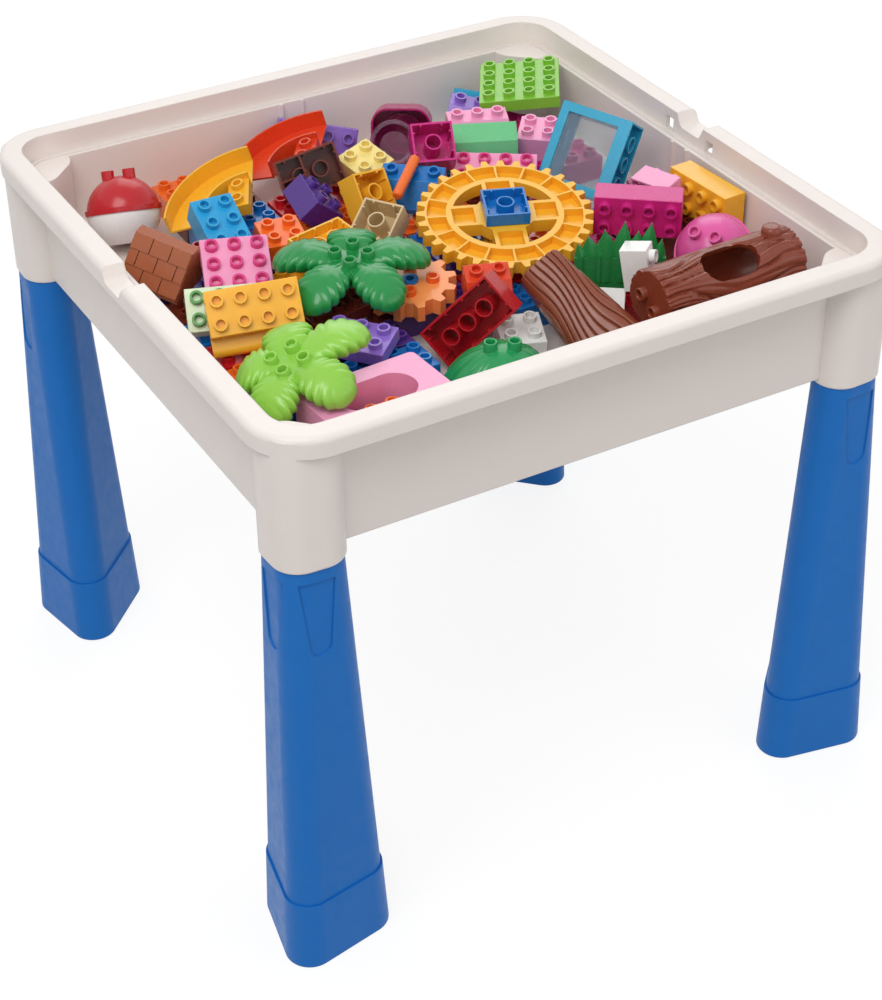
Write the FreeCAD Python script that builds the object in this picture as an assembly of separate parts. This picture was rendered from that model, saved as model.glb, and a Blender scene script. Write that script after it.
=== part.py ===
import FreeCAD, Part
import math
import os

# Building block table: a white tray on four plug-in legs, filled with loose blocks.
# Millimetres, +Z up, the origin on the floor under the middle of the table.
# The front of the table is the -Y side, and the notched rims are the -X and +X sides.

os.makedirs("parts", exist_ok=True)
Vector = FreeCAD.Vector
Rotation = FreeCAD.Rotation

# Tray
tray_side = 490.0
table_height = 435.0
rim_corner_radius = 42.0
rim_edge_radius = 4.5
rim_band_height = 15.0
rim_width = 17.0
lip_depth = 18.0
wall = 3.0
wall_inset = 22.0
tray_depth = 97.0
floor_depth = 70.0
bead_width = 2.0
bead_height = 1.0
bead_inset = 20.0
notch_width = 34.0
notch_foot_width = 24.0
notch_depth = 10.0
saddle_width = 42.0
window_width = 9.0
window_height = 10.0
wall_rib_width = 3.0
wall_rib_proud = 2.0
wall_rib_apart = 18.0
floor_rib_depth = 12.0
floor_rib_shares = (-0.5, 0.0, 0.5)

# Corner columns and legs: each outline is a three-cornered shape rounded at its corners
column_inset = 29.0
column_drop = 5.0
column_step = 1.5
column_edge_radius = 2.0
top_corner_out = 5.0
top_corner_in = 3.0
top_corner_side = 9.0
top_rounding = 18.0
foot_corner_out = 25.0
foot_corner_in = 15.0
foot_corner_side = 27.0
foot_rounding = 17.0
leg_wall = 3.0
socket_fit = 0.15
spigot_length = 46.0
cap_height = 57.0
cap_floor = 3.0
cap_step = 1.4
cap_edge_radius = 2.0
recess_depth = 1.1
recess_width = 25.0
recess_end_width = 16.0
recess_length = 50.0
recess_below_top = 9.0

# Blocks: one stud grid for all of them
pitch = 16.0
side_play = 0.2
brick_height = 19.2
plate_height = 9.6
stud_diameter = 9.4
stud_hole_diameter = 6.2
stud_height = 4.4
shell = 1.6
tube_diameter = 13.0
tube_hole_diameter = 10.6
grip_rib_width = 1.2
grip_rib_proud = 1.4
edge_round = 0.6
skin = 0.1
settle_gap = 0.15
settle_reach = 18.0
settle_rings = 3
settle_ways = 8
settle_slope = 0.3
cut_over = 1.0
fill_gap = 2.0
bank_round = 2.0

# Blocks with shapes of their own
tile_thick = 1.8
tile_gap = 0.8
slope_lip = 4.0
chute_radius = 64.0
chute_width = 32.0
chute_wall_height = 15.0
shelf_lip_reach = 12.0
shelf_lip_thick = 9.0
palm_reach = 57.0
palm_leaf_length = 54.0
palm_leaf_width = 22.0
palm_tip_radius = 1.2
palm_base_height = 12.0
palm_droop_angle = 7.0
dome_diameter = 84.0
dome_height = 22.0
dome_shell = 2.4
rib_thick = 1.6
rib_proud = 1.2
trunk_length = 80.0
trunk_width = 50.0
trunk_thick = 24.0
trunk_flare = 8.0
grain_radius = 1.1
log_length = 118.0
log_diameter = 47.0
log_shell = 4.5
log_flat = 3.0
log_window_length = 46.0
log_window_width = 25.0
log_knot_diameter = 15.0
log_knot_proud = 5.0
log_knot_angle = 60.0
grass_height = 52.0
grass_thick = 9.0
grass_blade_width = 17.0
grass_shoulder_share = 0.6
gear_diameter = 128.0
gear_tooth_depth = 6.0
gear_teeth = 32
gear_thick = 10.0
gear_ring_width = 20.0
gear_channel_depth = 6.0
gear_spoke_width = 24.0
gear_hub_diameter = 44.0
pin_diameter = 12.0
pin_fit = 0.1
pin_flange_diameter = 24.0
pin_flange_thick = 2.0
pin_play = 0.3
round_gear_diameter = 66.0
round_gear_teeth = 12
round_gear_tooth_depth = 6.0
round_gear_thick = 12.0
frame_height = 58.0
frame_bar = 7.0
frame_base = 10.0
pane_thick = 2.0
pane_play = 0.1
bowl_side = 47.0
bowl_height = 30.0
bowl_corner_radius = 13.0
bowl_ring_height = 8.0
pot_diameter = 34.0
pot_foot_diameter = 26.0
pot_height = 26.0
oval_block_length = 92.0
oval_block_width = 60.0
oval_block_height = 24.0
oval_length = 56.0
oval_width = 32.0
rod_diameter = 8.0
rod_length = 42.0
ball_diameter = 55.0
ball_foot_diameter = 30.0
ball_seam_proud = 1.2
ball_seam_height = 4.0

# Levels and insets that follow from the sizes above
half_side = tray_side / 2
rim_top = table_height
ledge_level = rim_top - lip_depth
wall_bottom = rim_top - tray_depth
floor_top = rim_top - floor_depth
floor_bottom = floor_top - wall
inner_inset = wall_inset + wall
room = half_side - inner_inset
column_bottom = wall_bottom - column_drop
leg_top = column_bottom
bore_top = ledge_level - wall
column_rounding = top_rounding + column_step
bore_rounding = column_rounding - wall
spigot_rounding = bore_rounding - socket_fit
corner_signs = {"front_left": (-1, -1), "front_right": (1, -1), "back_left": (-1, 1), "back_right": (1, 1)}


# Plain shapes

def box(length, width, height, centre, low):
    """Upright box from the level low, with its middle at centre (x, y)."""
    corner = Vector(centre[0] - length / 2, centre[1] - width / 2, low)
    return Part.makeBox(length, width, height, corner)


def upright_edges(shape):
    return [e for e in shape.Edges if abs(e.tangentAt(e.FirstParameter).z) > 0.5]


def edges_at(shape, level):
    return [e for e in shape.Edges if all(abs(v.Z - level) < edge_round / 2 for v in e.Vertexes)]


def rounded_prism(inset, low, high):
    """Prism inside the rim's outline by inset, with corners that keep the rim's centres."""
    side = tray_side - 2 * inset
    prism = box(side, side, high - low, (0, 0), low)
    return prism.makeFillet(rim_corner_radius - inset, upright_edges(prism))


def cylinder(diameter, height, base, direction=(0, 0, 1)):
    return Part.makeCylinder(diameter / 2, height, Vector(*base), Vector(*direction))


def polygon_prism(points, low, high, axis="z"):
    """Prism on a polygon. The polygon lies across the axis, in x, y, z order."""
    place = {"z": lambda u, v, w: Vector(u, v, w), "y": lambda u, v, w: Vector(u, w, v),
             "x": lambda u, v, w: Vector(w, u, v)}[axis]
    ring = [place(u, v, low) for u, v in points]
    face = Part.Face(Part.makePolygon(ring + ring[:1]))
    return face.extrude(place(0, 0, high) - place(0, 0, low))


def rounded_triangle(corner, out, inward, side, rounding, level):
    """Closed wire round three corner circles. The first corner points out of the table's corner."""
    sign_x, sign_y = corner
    centre = Vector(sign_x * (half_side - column_inset), sign_y * (half_side - column_inset), level)
    outward = Vector(sign_x, sign_y, 0).normalize()
    across = Vector(-outward.y, outward.x, 0)
    corners = [centre + outward * out,
               centre - outward * inward + across * side,
               centre - outward * inward - across * side]
    edges = []
    for index, point in enumerate(corners):
        before = (point - corners[index - 1]).normalize()
        after = (corners[(index + 1) % 3] - point).normalize()
        start_normal = Vector(before.y, -before.x, 0)
        end_normal = Vector(after.y, -after.x, 0)
        middle_normal = (start_normal + end_normal).normalize()
        start = point + start_normal * rounding
        middle = point + middle_normal * rounding
        end = point + end_normal * rounding
        edges.append(Part.Arc(start, middle, end).toShape())
        edges.append(Part.LineSegment(end, corners[(index + 1) % 3] + end_normal * rounding).toShape())
    return Part.Wire(edges)


def top_outline(corner, rounding, level):
    return rounded_triangle(corner, top_corner_out, top_corner_in, top_corner_side, rounding, level)


def leg_outline(corner, grow, level):
    """Outline of the leg at a level, grown by an amount: it flares evenly from its top to the floor."""
    share = 1 - level / leg_top

    def flared(top, foot):
        return top + (foot - top) * share

    return rounded_triangle(corner, flared(top_corner_out, foot_corner_out),
                            flared(top_corner_in, foot_corner_in),
                            flared(top_corner_side, foot_corner_side),
                            flared(top_rounding, foot_rounding) + grow, level)


def leg_solid(corner, grow, low, high):
    return Part.makeLoft([leg_outline(corner, grow, low), leg_outline(corner, grow, high)], True, True)


def top_prism(corner, rounding, low, high):
    face = Part.Face(top_outline(corner, rounding, low))
    return face.extrude(Vector(0, 0, high - low))


# Tray

def make_rim():
    """Hollow rim: a rounded band outside, a flat top, and a lip inside that drops to the ledge."""
    band = rounded_prism(0, rim_top - rim_band_height, rim_top)
    band = band.makeFillet(rim_edge_radius, edges_at(band, rim_top))
    hollow = rounded_prism(wall, rim_top - rim_band_height - cut_over, rim_top - wall)
    keep = rounded_prism(rim_width - wall, rim_top - rim_band_height - cut_over, rim_top - wall)
    lip = rounded_prism(rim_width - wall, ledge_level - wall, rim_top - wall)
    return band.cut(hollow.cut(keep)).fuse(lip)


def make_saddles():
    """Filled stretches of the hollow rim under the two finger notches."""
    saddles = []
    for side in (-1, 1):
        middle = (side * (half_side - rim_width / 2 - wall / 2), 0)
        saddles.append(box(rim_width - wall, saddle_width, rim_band_height - wall, middle,
                           rim_top - rim_band_height))
    return saddles


def notch_tools():
    """Finger notches with sloping ends through the rim, and small windows in the lip beside them."""
    tools = []
    top = rim_top + cut_over
    spread = (notch_width - notch_foot_width) / notch_depth * cut_over
    outline = [(-notch_foot_width / 2, rim_top - notch_depth), (notch_foot_width / 2, rim_top - notch_depth),
               (notch_width / 2 + spread / 2, top), (-notch_width / 2 - spread / 2, top)]
    reach = rim_width + cut_over
    for side in (-1, 1):
        middle = side * (half_side - rim_width / 2)
        notch = polygon_prism(outline, middle - reach / 2, middle + reach / 2, "x")
        low_edges = [e for e in notch.Edges if all(v.Z < rim_top for v in e.Vertexes)
                     and abs(e.tangentAt(e.FirstParameter).x) > 0.5]
        tools.append(notch.makeFillet(notch_depth / 2, low_edges))
        for end in (-1, 1):
            place = (side * (half_side - rim_width + wall / 2), end * (saddle_width + window_width) / 2)
            tools.append(box(wall + cut_over, window_width, window_height, place, ledge_level + bead_height))
    return tools


def wall_ribs():
    """Pairs of upright ribs at the middle of each inner wall, from the floor to the ledge."""
    ribs = []
    for turn in range(4):
        for end in (-1, 1):
            rib = box(wall_rib_proud, wall_rib_width, ledge_level - floor_top,
                      (room - wall_rib_proud / 2, end * wall_rib_apart / 2), floor_top)
            rib.rotate(Vector(0, 0, 0), Vector(0, 0, 1), turn * 90)
            ribs.append(rib)
    return ribs


def floor_ribs():
    """Stiffening ribs under the floor, both ways."""
    ribs = []
    for share in floor_rib_shares:
        for turn in (0, 90):
            rib = box(2 * room, wall, floor_rib_depth, (0, share * room), floor_bottom - floor_rib_depth)
            rib.rotate(Vector(0, 0, 0), Vector(0, 0, 1), turn)
            ribs.append(rib)
    return ribs


def make_tray():
    walls = rounded_prism(wall_inset, wall_bottom, ledge_level)
    walls = walls.cut(rounded_prism(inner_inset, floor_top, ledge_level + cut_over))
    walls = walls.cut(rounded_prism(inner_inset, wall_bottom - cut_over, floor_bottom))
    upper_room = rounded_prism(rim_width, ledge_level, rim_top + cut_over)
    lower_room = rounded_prism(inner_inset, ledge_level - wall - cut_over, ledge_level)
    columns = []
    bores = []
    for corner in corner_signs.values():
        column = top_prism(corner, column_rounding, column_bottom, rim_top - wall)
        column = column.makeFillet(column_edge_radius, edges_at(column, column_bottom))
        columns.append(column)
        bores.append(top_prism(corner, bore_rounding, column_bottom - cut_over, bore_top))
    bead = rounded_prism(bead_inset, ledge_level, ledge_level + bead_height)
    bead = bead.cut(rounded_prism(bead_inset + bead_width, ledge_level, ledge_level + bead_height))
    rim = make_rim().cut(lower_room)
    body = rim.multiFuse([walls] + columns + make_saddles())
    body = body.cut(upper_room)
    body = body.multiFuse([bead] + wall_ribs() + floor_ribs())
    return body.cut(Part.makeCompound(bores + notch_tools())).removeSplitter()


# Legs and foot caps

def thumb_recesses(corner):
    """Shallow recesses with a round lower end on the two outer faces of a leg, just below the tray."""
    core = leg_solid(corner, -recess_depth, cap_floor, leg_top)
    top = leg_top - recess_below_top
    bottom = top - recess_length
    end_radius = recess_end_width / 2
    profile = [(-recess_width / 2, top), (-end_radius, bottom), (end_radius, bottom), (recess_width / 2, top)]
    reach = top_rounding + foot_corner_out + foot_rounding
    tools = []
    for axis, sign in (("x", corner[0]), ("y", corner[1])):
        slot = polygon_prism(profile, 0, sign * reach, axis)
        direction = (sign, 0, 0) if axis == "x" else (0, sign, 0)
        slot = slot.fuse(cylinder(recess_end_width, reach, (0, 0, bottom), direction))
        inset = half_side - column_inset
        slot.translate(Vector(corner[0] * inset, corner[1] * inset, 0))
        tools.append(slot.cut(core))
    return tools


def make_leg(corner):
    outer = leg_solid(corner, 0, cap_floor, leg_top)
    inner = leg_solid(corner, -leg_wall, cap_floor, leg_top - leg_wall)
    spigot = top_prism(corner, spigot_rounding, leg_top, leg_top + spigot_length)
    hollow = top_prism(corner, spigot_rounding - leg_wall, leg_top - leg_wall - cut_over,
                       leg_top + spigot_length - leg_wall)
    return outer.fuse(spigot).cut(inner).cut(hollow).cut(Part.makeCompound(thumb_recesses(corner)))


def make_foot_cap(corner):
    """Sleeve round the foot, closed below, that the leg stands in."""
    sleeve = leg_solid(corner, cap_step, 0, cap_height)
    sleeve = sleeve.makeFillet(cap_edge_radius, edges_at(sleeve, 0))
    return sleeve.cut(leg_solid(corner, 0, cap_floor, cap_height + cut_over))


# Convex pieces stand for the blocks while they are laid in the tray

class Piece:
    """A convex body with flat faces, kept as the planes, corners and edges that a fall needs."""

    def __init__(self, points, faces):
        self.points = points
        self.faces = faces

    def placed(self, rotation, x, y, z):
        moved = [rotation.multVec(p) + Vector(x, y, z) for p in self.points]
        return Laid(moved, self.faces)


class Laid:
    """A piece at its place, with its upper and lower surface worked out."""

    def __init__(self, points, faces):
        self.points = [(p.x, p.y, p.z) for p in points]
        self.box = [min(p[i] for p in self.points) for i in range(3)]
        self.box += [max(p[i] for p in self.points) for i in range(3)]
        self.over = []
        self.under = []
        self.sides = []
        middle = sum(points, Vector(0, 0, 0)) * (1 / len(points))
        upper = set()
        lower = set()
        for face in faces:
            a, b, c = (points[i] for i in face[:3])
            normal = (b - a).cross(c - a).normalize()
            if normal.dot(a - middle) < 0:
                normal = normal * -1
            reach = normal.dot(a)
            ring = {tuple(sorted((face[i - 1], face[i]))) for i in range(len(face))}
            if normal.z > 1e-6:
                self.over.append((-normal.x / normal.z, -normal.y / normal.z, reach / normal.z))
                upper |= ring
            elif normal.z < -1e-6:
                self.under.append((-normal.x / normal.z, -normal.y / normal.z, reach / normal.z))
                lower |= ring
            else:
                self.sides.append((normal.x, normal.y, reach))
        self.upper_edges = [(self.points[i], self.points[j]) for i, j in upper]
        self.lower_edges = [(self.points[i], self.points[j]) for i, j in lower]

    def span_at(self, x, y):
        """Lowest and highest level of the piece over a point of the floor, or None beside it."""
        for a, b, reach in self.sides:
            if a * x + b * y > reach:
                return None
        high = min(a * x + b * y + c for a, b, c in self.over)
        low = max(a * x + b * y + c for a, b, c in self.under)
        return (low, high) if high >= low else None


def edge_needs(lower_edges, upper_edges, place, least):
    """Highest lift at which the edges of a falling piece meet the edges of a laid one, at or over least."""
    for (ax, ay, az), (bx, by, bz) in lower_edges:
        ax, ay, bx, by = ax + place[0], ay + place[1], bx + place[0], by + place[1]
        ux, uy = bx - ax, by - ay
        for (cx, cy, cz), (dx, dy, dz) in upper_edges:
            vx, vy = dx - cx, dy - cy
            cross = ux * vy - uy * vx
            if abs(cross) < 1e-9:
                continue
            wx, wy = cx - ax, cy - ay
            s = (wx * vy - wy * vx) / cross
            if s < 0 or s > 1:
                continue
            t = (wx * uy - wy * ux) / cross
            if t < 0 or t > 1:
                continue
            least = max(least, cz + (dz - cz) * t - az - (bz - az) * s)
    return least


def lift_needed(falling, laid, place, least):
    """How far the falling piece has to be lifted to rest on the laid one, if that is over least."""
    for x, y, z in laid.points:
        span = falling.span_at(x - place[0], y - place[1])
        if span:
            least = max(least, z - span[0])
    for x, y, z in falling.points:
        span = laid.span_at(x + place[0], y + place[1])
        if span:
            least = max(least, span[1] - z)
    return edge_needs(falling.lower_edges, laid.upper_edges, place, least)


def boxes_cross(a, place, b):
    """Whether two pieces lie over one another in plan, by their boxes."""
    return (a[0] + place[0] < b[3] and b[0] < a[3] + place[0]
            and a[1] + place[1] < b[4] and b[1] < a[4] + place[1])


def prism_piece(points, low, high, axis="z"):
    """Convex piece on a convex polygon, across the axis as in polygon_prism."""
    place = {"z": lambda u, v, w: Vector(u, v, w), "y": lambda u, v, w: Vector(u, w, v),
             "x": lambda u, v, w: Vector(w, u, v)}[axis]
    count = len(points)
    corners = [place(u, v, low) for u, v in points] + [place(u, v, high) for u, v in points]
    faces = [list(range(count)), list(range(count, 2 * count))]
    faces += [[i, (i + 1) % count, (i + 1) % count + count, i + count] for i in range(count)]
    return Piece(corners, faces)


def box_piece(length, width, low, high, centre=(0, 0)):
    x0, x1 = centre[0] - length / 2 - skin, centre[0] + length / 2 + skin
    y0, y1 = centre[1] - width / 2 - skin, centre[1] + width / 2 + skin
    return prism_piece([(x0, y0), (x1, y0), (x1, y1), (x0, y1)], low - skin, high + skin)


def lathe_piece(profile, sides=8, axis="z", centre=(0, 0)):
    """Convex piece round an axis from (radius, level) pairs, drawn outside the round body."""
    place = {"z": lambda u, v, w: Vector(u, v, w), "x": lambda u, v, w: Vector(w, u, v)}[axis]
    grow = 1 / math.cos(math.pi / sides)
    corners = []
    for radius, level in profile:
        for k in range(sides):
            angle = 2 * math.pi * (k + 0.5) / sides
            reach = (radius + skin) * grow
            across = centre[0] + reach * math.cos(angle)
            along = centre[1] + reach * math.sin(angle)
            corners.append(place(across, along, level))
    faces = [list(range(sides)), list(range(len(corners) - sides, len(corners)))]
    for ring in range(len(profile) - 1):
        start = ring * sides
        for k in range(sides):
            n = (k + 1) % sides
            faces.append([start + k, start + n, start + sides + n, start + sides + k])
    return Piece(corners, faces)


# Studded blocks. Each maker gives its solid and its pieces, about the middle of its body.

def stud_places(columns, rows):
    return [((i - (columns - 1) / 2) * pitch, (j - (rows - 1) / 2) * pitch)
            for i in range(columns) for j in range(rows)]


def stud(place, level):
    outer = cylinder(stud_diameter, stud_height, (place[0], place[1], level))
    hole = cylinder(stud_hole_diameter, stud_height, (place[0], place[1], level))
    return outer.cut(hole)


def stud_piece(place, level):
    radius = stud_diameter / 2
    return lathe_piece([(radius, level), (radius, level + stud_height + skin)], 8, "z", place)


def inset_profile(profile):
    """The profile moved in by the shell on every edge but its first, the open underside."""
    count = len(profile)
    lines = []
    for i in range(count):
        (x0, y0), (x1, y1) = profile[i], profile[(i + 1) % count]
        length = math.hypot(x1 - x0, y1 - y0)
        nx, ny = -(y1 - y0) / length, (x1 - x0) / length
        move = shell if i else 0
        lines.append((nx, ny, nx * x0 + ny * y0 + move))
    points = []
    for i in range(count):
        (a, b, c), (d, e, f) = lines[i - 1], lines[i]
        cross = a * e - b * d
        points.append(((c * e - b * f) / cross, (a * f - c * d) / cross))
    return points


def shell_block(profile, length):
    """Hollow block, open below: a convex profile across Y and Z, drawn out along X."""
    inner = inset_profile(profile)
    outer = polygon_prism(profile, -length / 2, length / 2, "x")
    hollow = polygon_prism(inner, -length / 2 + shell, length / 2 - shell, "x")
    count = len(profile)
    pieces = []
    for i in range(1, count):
        n = (i + 1) % count
        slab = [profile[i], profile[n], inner[n], inner[i]]
        pieces.append(prism_piece(slab, -length / 2 - skin, length / 2 + skin, "x"))
    for end in (-1, 1):
        edge = end * length / 2
        pieces.append(prism_piece(profile, min(edge + end * skin, edge - end * shell),
                                  max(edge + end * skin, edge - end * shell), "x"))
    return outer, hollow, pieces


def grip_ribs(columns, rows, height):
    """Small ribs inside the walls that grip the studs of a block below."""
    ribs = []
    low = -height / 2
    reach_x = columns * pitch / 2 - side_play / 2 - shell - grip_rib_proud / 2
    reach_y = rows * pitch / 2 - side_play / 2 - shell - grip_rib_proud / 2
    tall = height - shell
    for x in {p[0] for p in stud_places(columns, rows)}:
        for side in (-1, 1):
            ribs.append(box(grip_rib_width, grip_rib_proud, tall, (x, side * reach_y), low))
    for y in {p[1] for p in stud_places(columns, rows)}:
        for side in (-1, 1):
            ribs.append(box(grip_rib_proud, grip_rib_width, tall, (side * reach_x, y), low))
    return ribs


def brick(columns, rows, height=brick_height, studs=True, ribs=False):
    """Studded brick, hollow below with tubes between the studs."""
    length = columns * pitch - side_play
    width = rows * pitch - side_play
    low, high = -height / 2, height / 2
    profile = [(-width / 2, low), (width / 2, low), (width / 2, high), (-width / 2, high)]
    outer, hollow, pieces = shell_block(profile, length)
    outer = outer.makeFillet(edge_round, upright_edges(outer) + edges_at(outer, high))
    body = outer.cut(hollow)
    extras = []
    places = stud_places(columns, rows) if studs else []
    for place in places:
        extras.append(stud(place, high))
        pieces.append(stud_piece(place, high))
    for place in stud_places(columns - 1, rows - 1):
        tube = cylinder(tube_diameter, height - shell, (place[0], place[1], low))
        extras.append(tube.cut(cylinder(tube_hole_diameter, height - shell, (place[0], place[1], low))))
        span = [(tube_diameter / 2, low - skin), (tube_diameter / 2, high - shell)]
        pieces.append(lathe_piece(span, 8, "z", place))
    if ribs:
        extras += grip_ribs(columns, rows, height)
    return body.multiFuse(extras) if extras else body, pieces


def slope(columns, rows, height=brick_height, crest_rows=1, studs=True):
    """Brick whose front slopes down from a row of studs at the back."""
    length = columns * pitch - side_play
    width = rows * pitch - side_play
    low, high = -height / 2, height / 2
    crest = width / 2 - crest_rows * pitch
    profile = [(-width / 2, low), (width / 2, low), (width / 2, high), (crest, high),
               (-width / 2, low + slope_lip)]
    outer, hollow, pieces = shell_block(profile, length)
    outer = outer.makeFillet(edge_round, edges_at(outer, high))
    body = outer.cut(hollow)
    extras = []
    for place in stud_places(columns, rows):
        if studs and place[1] > crest:
            extras.append(stud(place, high))
            pieces.append(stud_piece(place, high))
    return body.multiFuse(extras) if extras else body, pieces


def tiled_roof():
    """Roof brick with three courses of overlapping tiles on its slope."""
    courses = 3
    tiles = 3
    columns, rows = 3, 2
    height = 1.5 * brick_height
    length = columns * pitch - side_play
    width = rows * pitch - side_play
    low, high = -height / 2, height / 2
    crest = width / 2 - pitch / 2
    profile = [(-width / 2, low), (width / 2, low), (width / 2, high), (crest, high),
               (-width / 2, low + slope_lip)]
    outer, hollow, pieces = shell_block(profile, length)
    body = outer.cut(hollow)
    run = crest + width / 2
    rise = high - low - slope_lip
    reach = math.hypot(run, rise)
    along = (run / reach, rise / reach)
    normal = (-along[1], along[0])
    extras = []
    for course in range(courses):
        foot = reach * course / courses
        head = reach * (course + 1) / courses
        thick = tile_thick
        strip = [(foot, 0), (head, 0), (head, thick / 2), (foot, thick)]
        points = [(-width / 2 + s * along[0] + t * normal[0], low + slope_lip + s * along[1] + t * normal[1])
                  for s, t in strip]
        tile = length / tiles
        shift = tile / 2 if course % 2 else 0
        cuts = sorted({-length / 2, length / 2} | {-length / 2 + shift + k * tile for k in range(1, tiles + 1)
                                                  if -length / 2 + shift + k * tile < length / 2 - tile_gap})
        if shift:
            cuts = sorted(set(cuts) | {-length / 2 + shift})
        for left, right in zip(cuts, cuts[1:]):
            extras.append(polygon_prism(points, left + tile_gap / 2, right - tile_gap / 2, "x"))
    out_x = normal[0] * (tile_thick + skin)
    out_y = normal[1] * (tile_thick + skin)
    cover = [(-width / 2, low + slope_lip), (crest, high), (crest + out_x, high + out_y),
             (-width / 2 + out_x, low + slope_lip + out_y)]
    pieces.append(prism_piece(cover, -length / 2, length / 2, "x"))
    return body.multiFuse(extras), pieces


def shelf_brick():
    """Two by four brick with a rolled lip along one long side."""
    body, pieces = brick(4, 2)
    length = 4 * pitch - side_play
    edge = -pitch + side_play / 2
    low = -brick_height / 2
    lip_middle = edge - shelf_lip_reach + shelf_lip_thick / 2
    flat = box(length, shelf_lip_reach - shelf_lip_thick / 2, shelf_lip_thick,
               (0, edge - (shelf_lip_reach - shelf_lip_thick / 2) / 2), low)
    roll = cylinder(shelf_lip_thick, length, (-length / 2, lip_middle, low + shelf_lip_thick / 2), (1, 0, 0))
    pieces.append(box_piece(length, edge - lip_middle, low, low + shelf_lip_thick,
                            (0, (edge + lip_middle) / 2)))
    span = [(shelf_lip_thick / 2, -length / 2 - skin), (shelf_lip_thick / 2, length / 2 + skin)]
    pieces.append(lathe_piece(span, 16, "x", (lip_middle, low + shelf_lip_thick / 2)))
    return body.multiFuse([flat, roll]), pieces


def chute():
    """Quarter-turn slide with two side walls, and a low stand with two studs at its upper end."""
    inner = chute_radius - chute_width
    half = chute_wall_height / 2

    def sector(outside, inside, low, high):
        base = Vector(0, 0, low)
        up = Vector(0, 0, 1)
        quarter = Part.makeCylinder(outside, high - low, base, up, 90)
        quarter = quarter.cut(Part.makeCylinder(inside, high - low, base, up, 90))
        quarter.rotate(Vector(0, 0, 0), up, 90)
        return quarter

    bed = sector(chute_radius, inner, -half, -half + shell)
    outside = sector(chute_radius, chute_radius - shell, -half, half)
    inside = sector(inner + shell, inner, -half, half)
    stand = box(pitch, 2 * pitch - cut_over, plate_height, (-pitch / 2, inner - pitch + cut_over), -half)
    studs = [stud((-pitch / 2, inner - pitch + side * pitch / 2), -half + plate_height) for side in (-1, 1)]
    count = 6
    pieces = []
    for k in range(count):
        first = math.pi / 2 + math.pi / 2 * k / count
        last = math.pi / 2 + math.pi / 2 * (k + 1) / count
        grow = 1 / math.cos((last - first) / 2)

        def ring(outside_radius, inside_radius):
            far = (outside_radius + skin) * grow
            near = inside_radius - skin
            corners = ((far, first), (far, last), (near, last), (near, first))
            return [(reach * math.cos(angle), reach * math.sin(angle)) for reach, angle in corners]

        pieces.append(prism_piece(ring(chute_radius, inner), -half - skin, -half + shell + skin))
        pieces.append(prism_piece(ring(chute_radius, chute_radius - shell), -half - skin, half + skin))
        pieces.append(prism_piece(ring(inner + shell, inner), -half - skin, half + skin))
    pieces.append(box_piece(pitch, 2 * pitch, -half, -half + plate_height, (-pitch / 2, inner - pitch)))
    for side in (-1, 1):
        pieces.append(stud_piece((-pitch / 2, inner - pitch + side * pitch / 2), -half + plate_height))
    return bed.multiFuse([outside, inside, stand] + studs), pieces


def cell_brick():
    """Two by three brick with one softer end, divided below into cells."""
    body, pieces = brick(3, 2, ribs=True)
    length = 3 * pitch - side_play
    width = 2 * pitch - side_play
    low = -brick_height / 2
    rounder = box(length, width, brick_height + stud_height + cut_over, (0, 0), low)
    left = [e for e in upright_edges(rounder) if e.Vertexes[0].X < 0]
    body = body.common(rounder.makeFillet(bank_round, left))
    divider = box(shell, width - shell, brick_height - shell, (-pitch / 4, 0), low)
    cross = box(length / 2 - pitch / 4 - shell / 2, shell, brick_height - shell,
                (-length / 4 - pitch / 8, 0), low)
    pieces.append(box_piece(shell, width, low, -low, (-pitch / 4, 0)))
    pieces.append(box_piece(length / 2, shell, low, -low, (-length / 4, 0)))
    return body.multiFuse([divider, cross]), pieces


def leaf(length, width):
    """Plump leaf: an arc turned about the leaf's own length."""
    rise = width / 2 - palm_tip_radius
    radius = (length ** 2 / 4 + rise ** 2) / (2 * rise)
    tip_a, tip_b = Vector(-length / 2, palm_tip_radius, 0), Vector(length / 2, palm_tip_radius, 0)
    end_a, end_b = Vector(-length / 2, 0, 0), Vector(length / 2, 0, 0)
    arc = Part.Arc(tip_a, Vector(0, width / 2, 0), tip_b).toShape()
    straight = Part.makePolygon([tip_b, end_b, end_a, tip_a]).Edges
    face = Part.Face(Part.Wire([arc] + straight))
    solid = face.revolve(Vector(0, 0, 0), Vector(1, 0, 0), 360)
    half_angle = math.asin(length / 2 / radius)
    steps = 8
    over = radius * (1 - math.cos(half_angle / steps))
    profile = []
    for k in range(steps + 1):
        angle = half_angle * (2 * k / steps - 1)
        profile.append((radius * math.cos(angle) - radius + width / 2 + over, radius * math.sin(angle)))
    return solid, lathe_piece(profile, 12, "x")


def palm_top(leaves):
    """Palm top: plump leaves round a square middle with four studs."""
    middle = 2 * pitch - side_play
    half = palm_base_height / 2
    body = box(middle, middle, palm_base_height, (0, 0), -half)
    body = body.makeFillet(palm_base_height / 3, upright_edges(body))
    pieces = [box_piece(middle, middle, -half, half)]
    extras = [stud(place, half) for place in stud_places(2, 2)]
    pieces += [stud_piece(place, half) for place in stud_places(2, 2)]
    for angle, stretch in leaves:
        solid, piece = leaf(palm_leaf_length * stretch, palm_leaf_width)
        turn = Rotation(Vector(0, 0, 1), angle).multiply(Rotation(Vector(0, 1, 0), palm_droop_angle))
        reach = palm_reach * stretch - palm_leaf_length * stretch / 2
        shift = turn.multVec(Vector(reach, 0, 0))
        solid.Placement = FreeCAD.Placement(shift, turn)
        extras.append(solid)
        pieces.append(Piece([turn.multVec(p) + shift for p in piece.points], piece.faces))
    return body.multiFuse(extras), pieces


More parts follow.
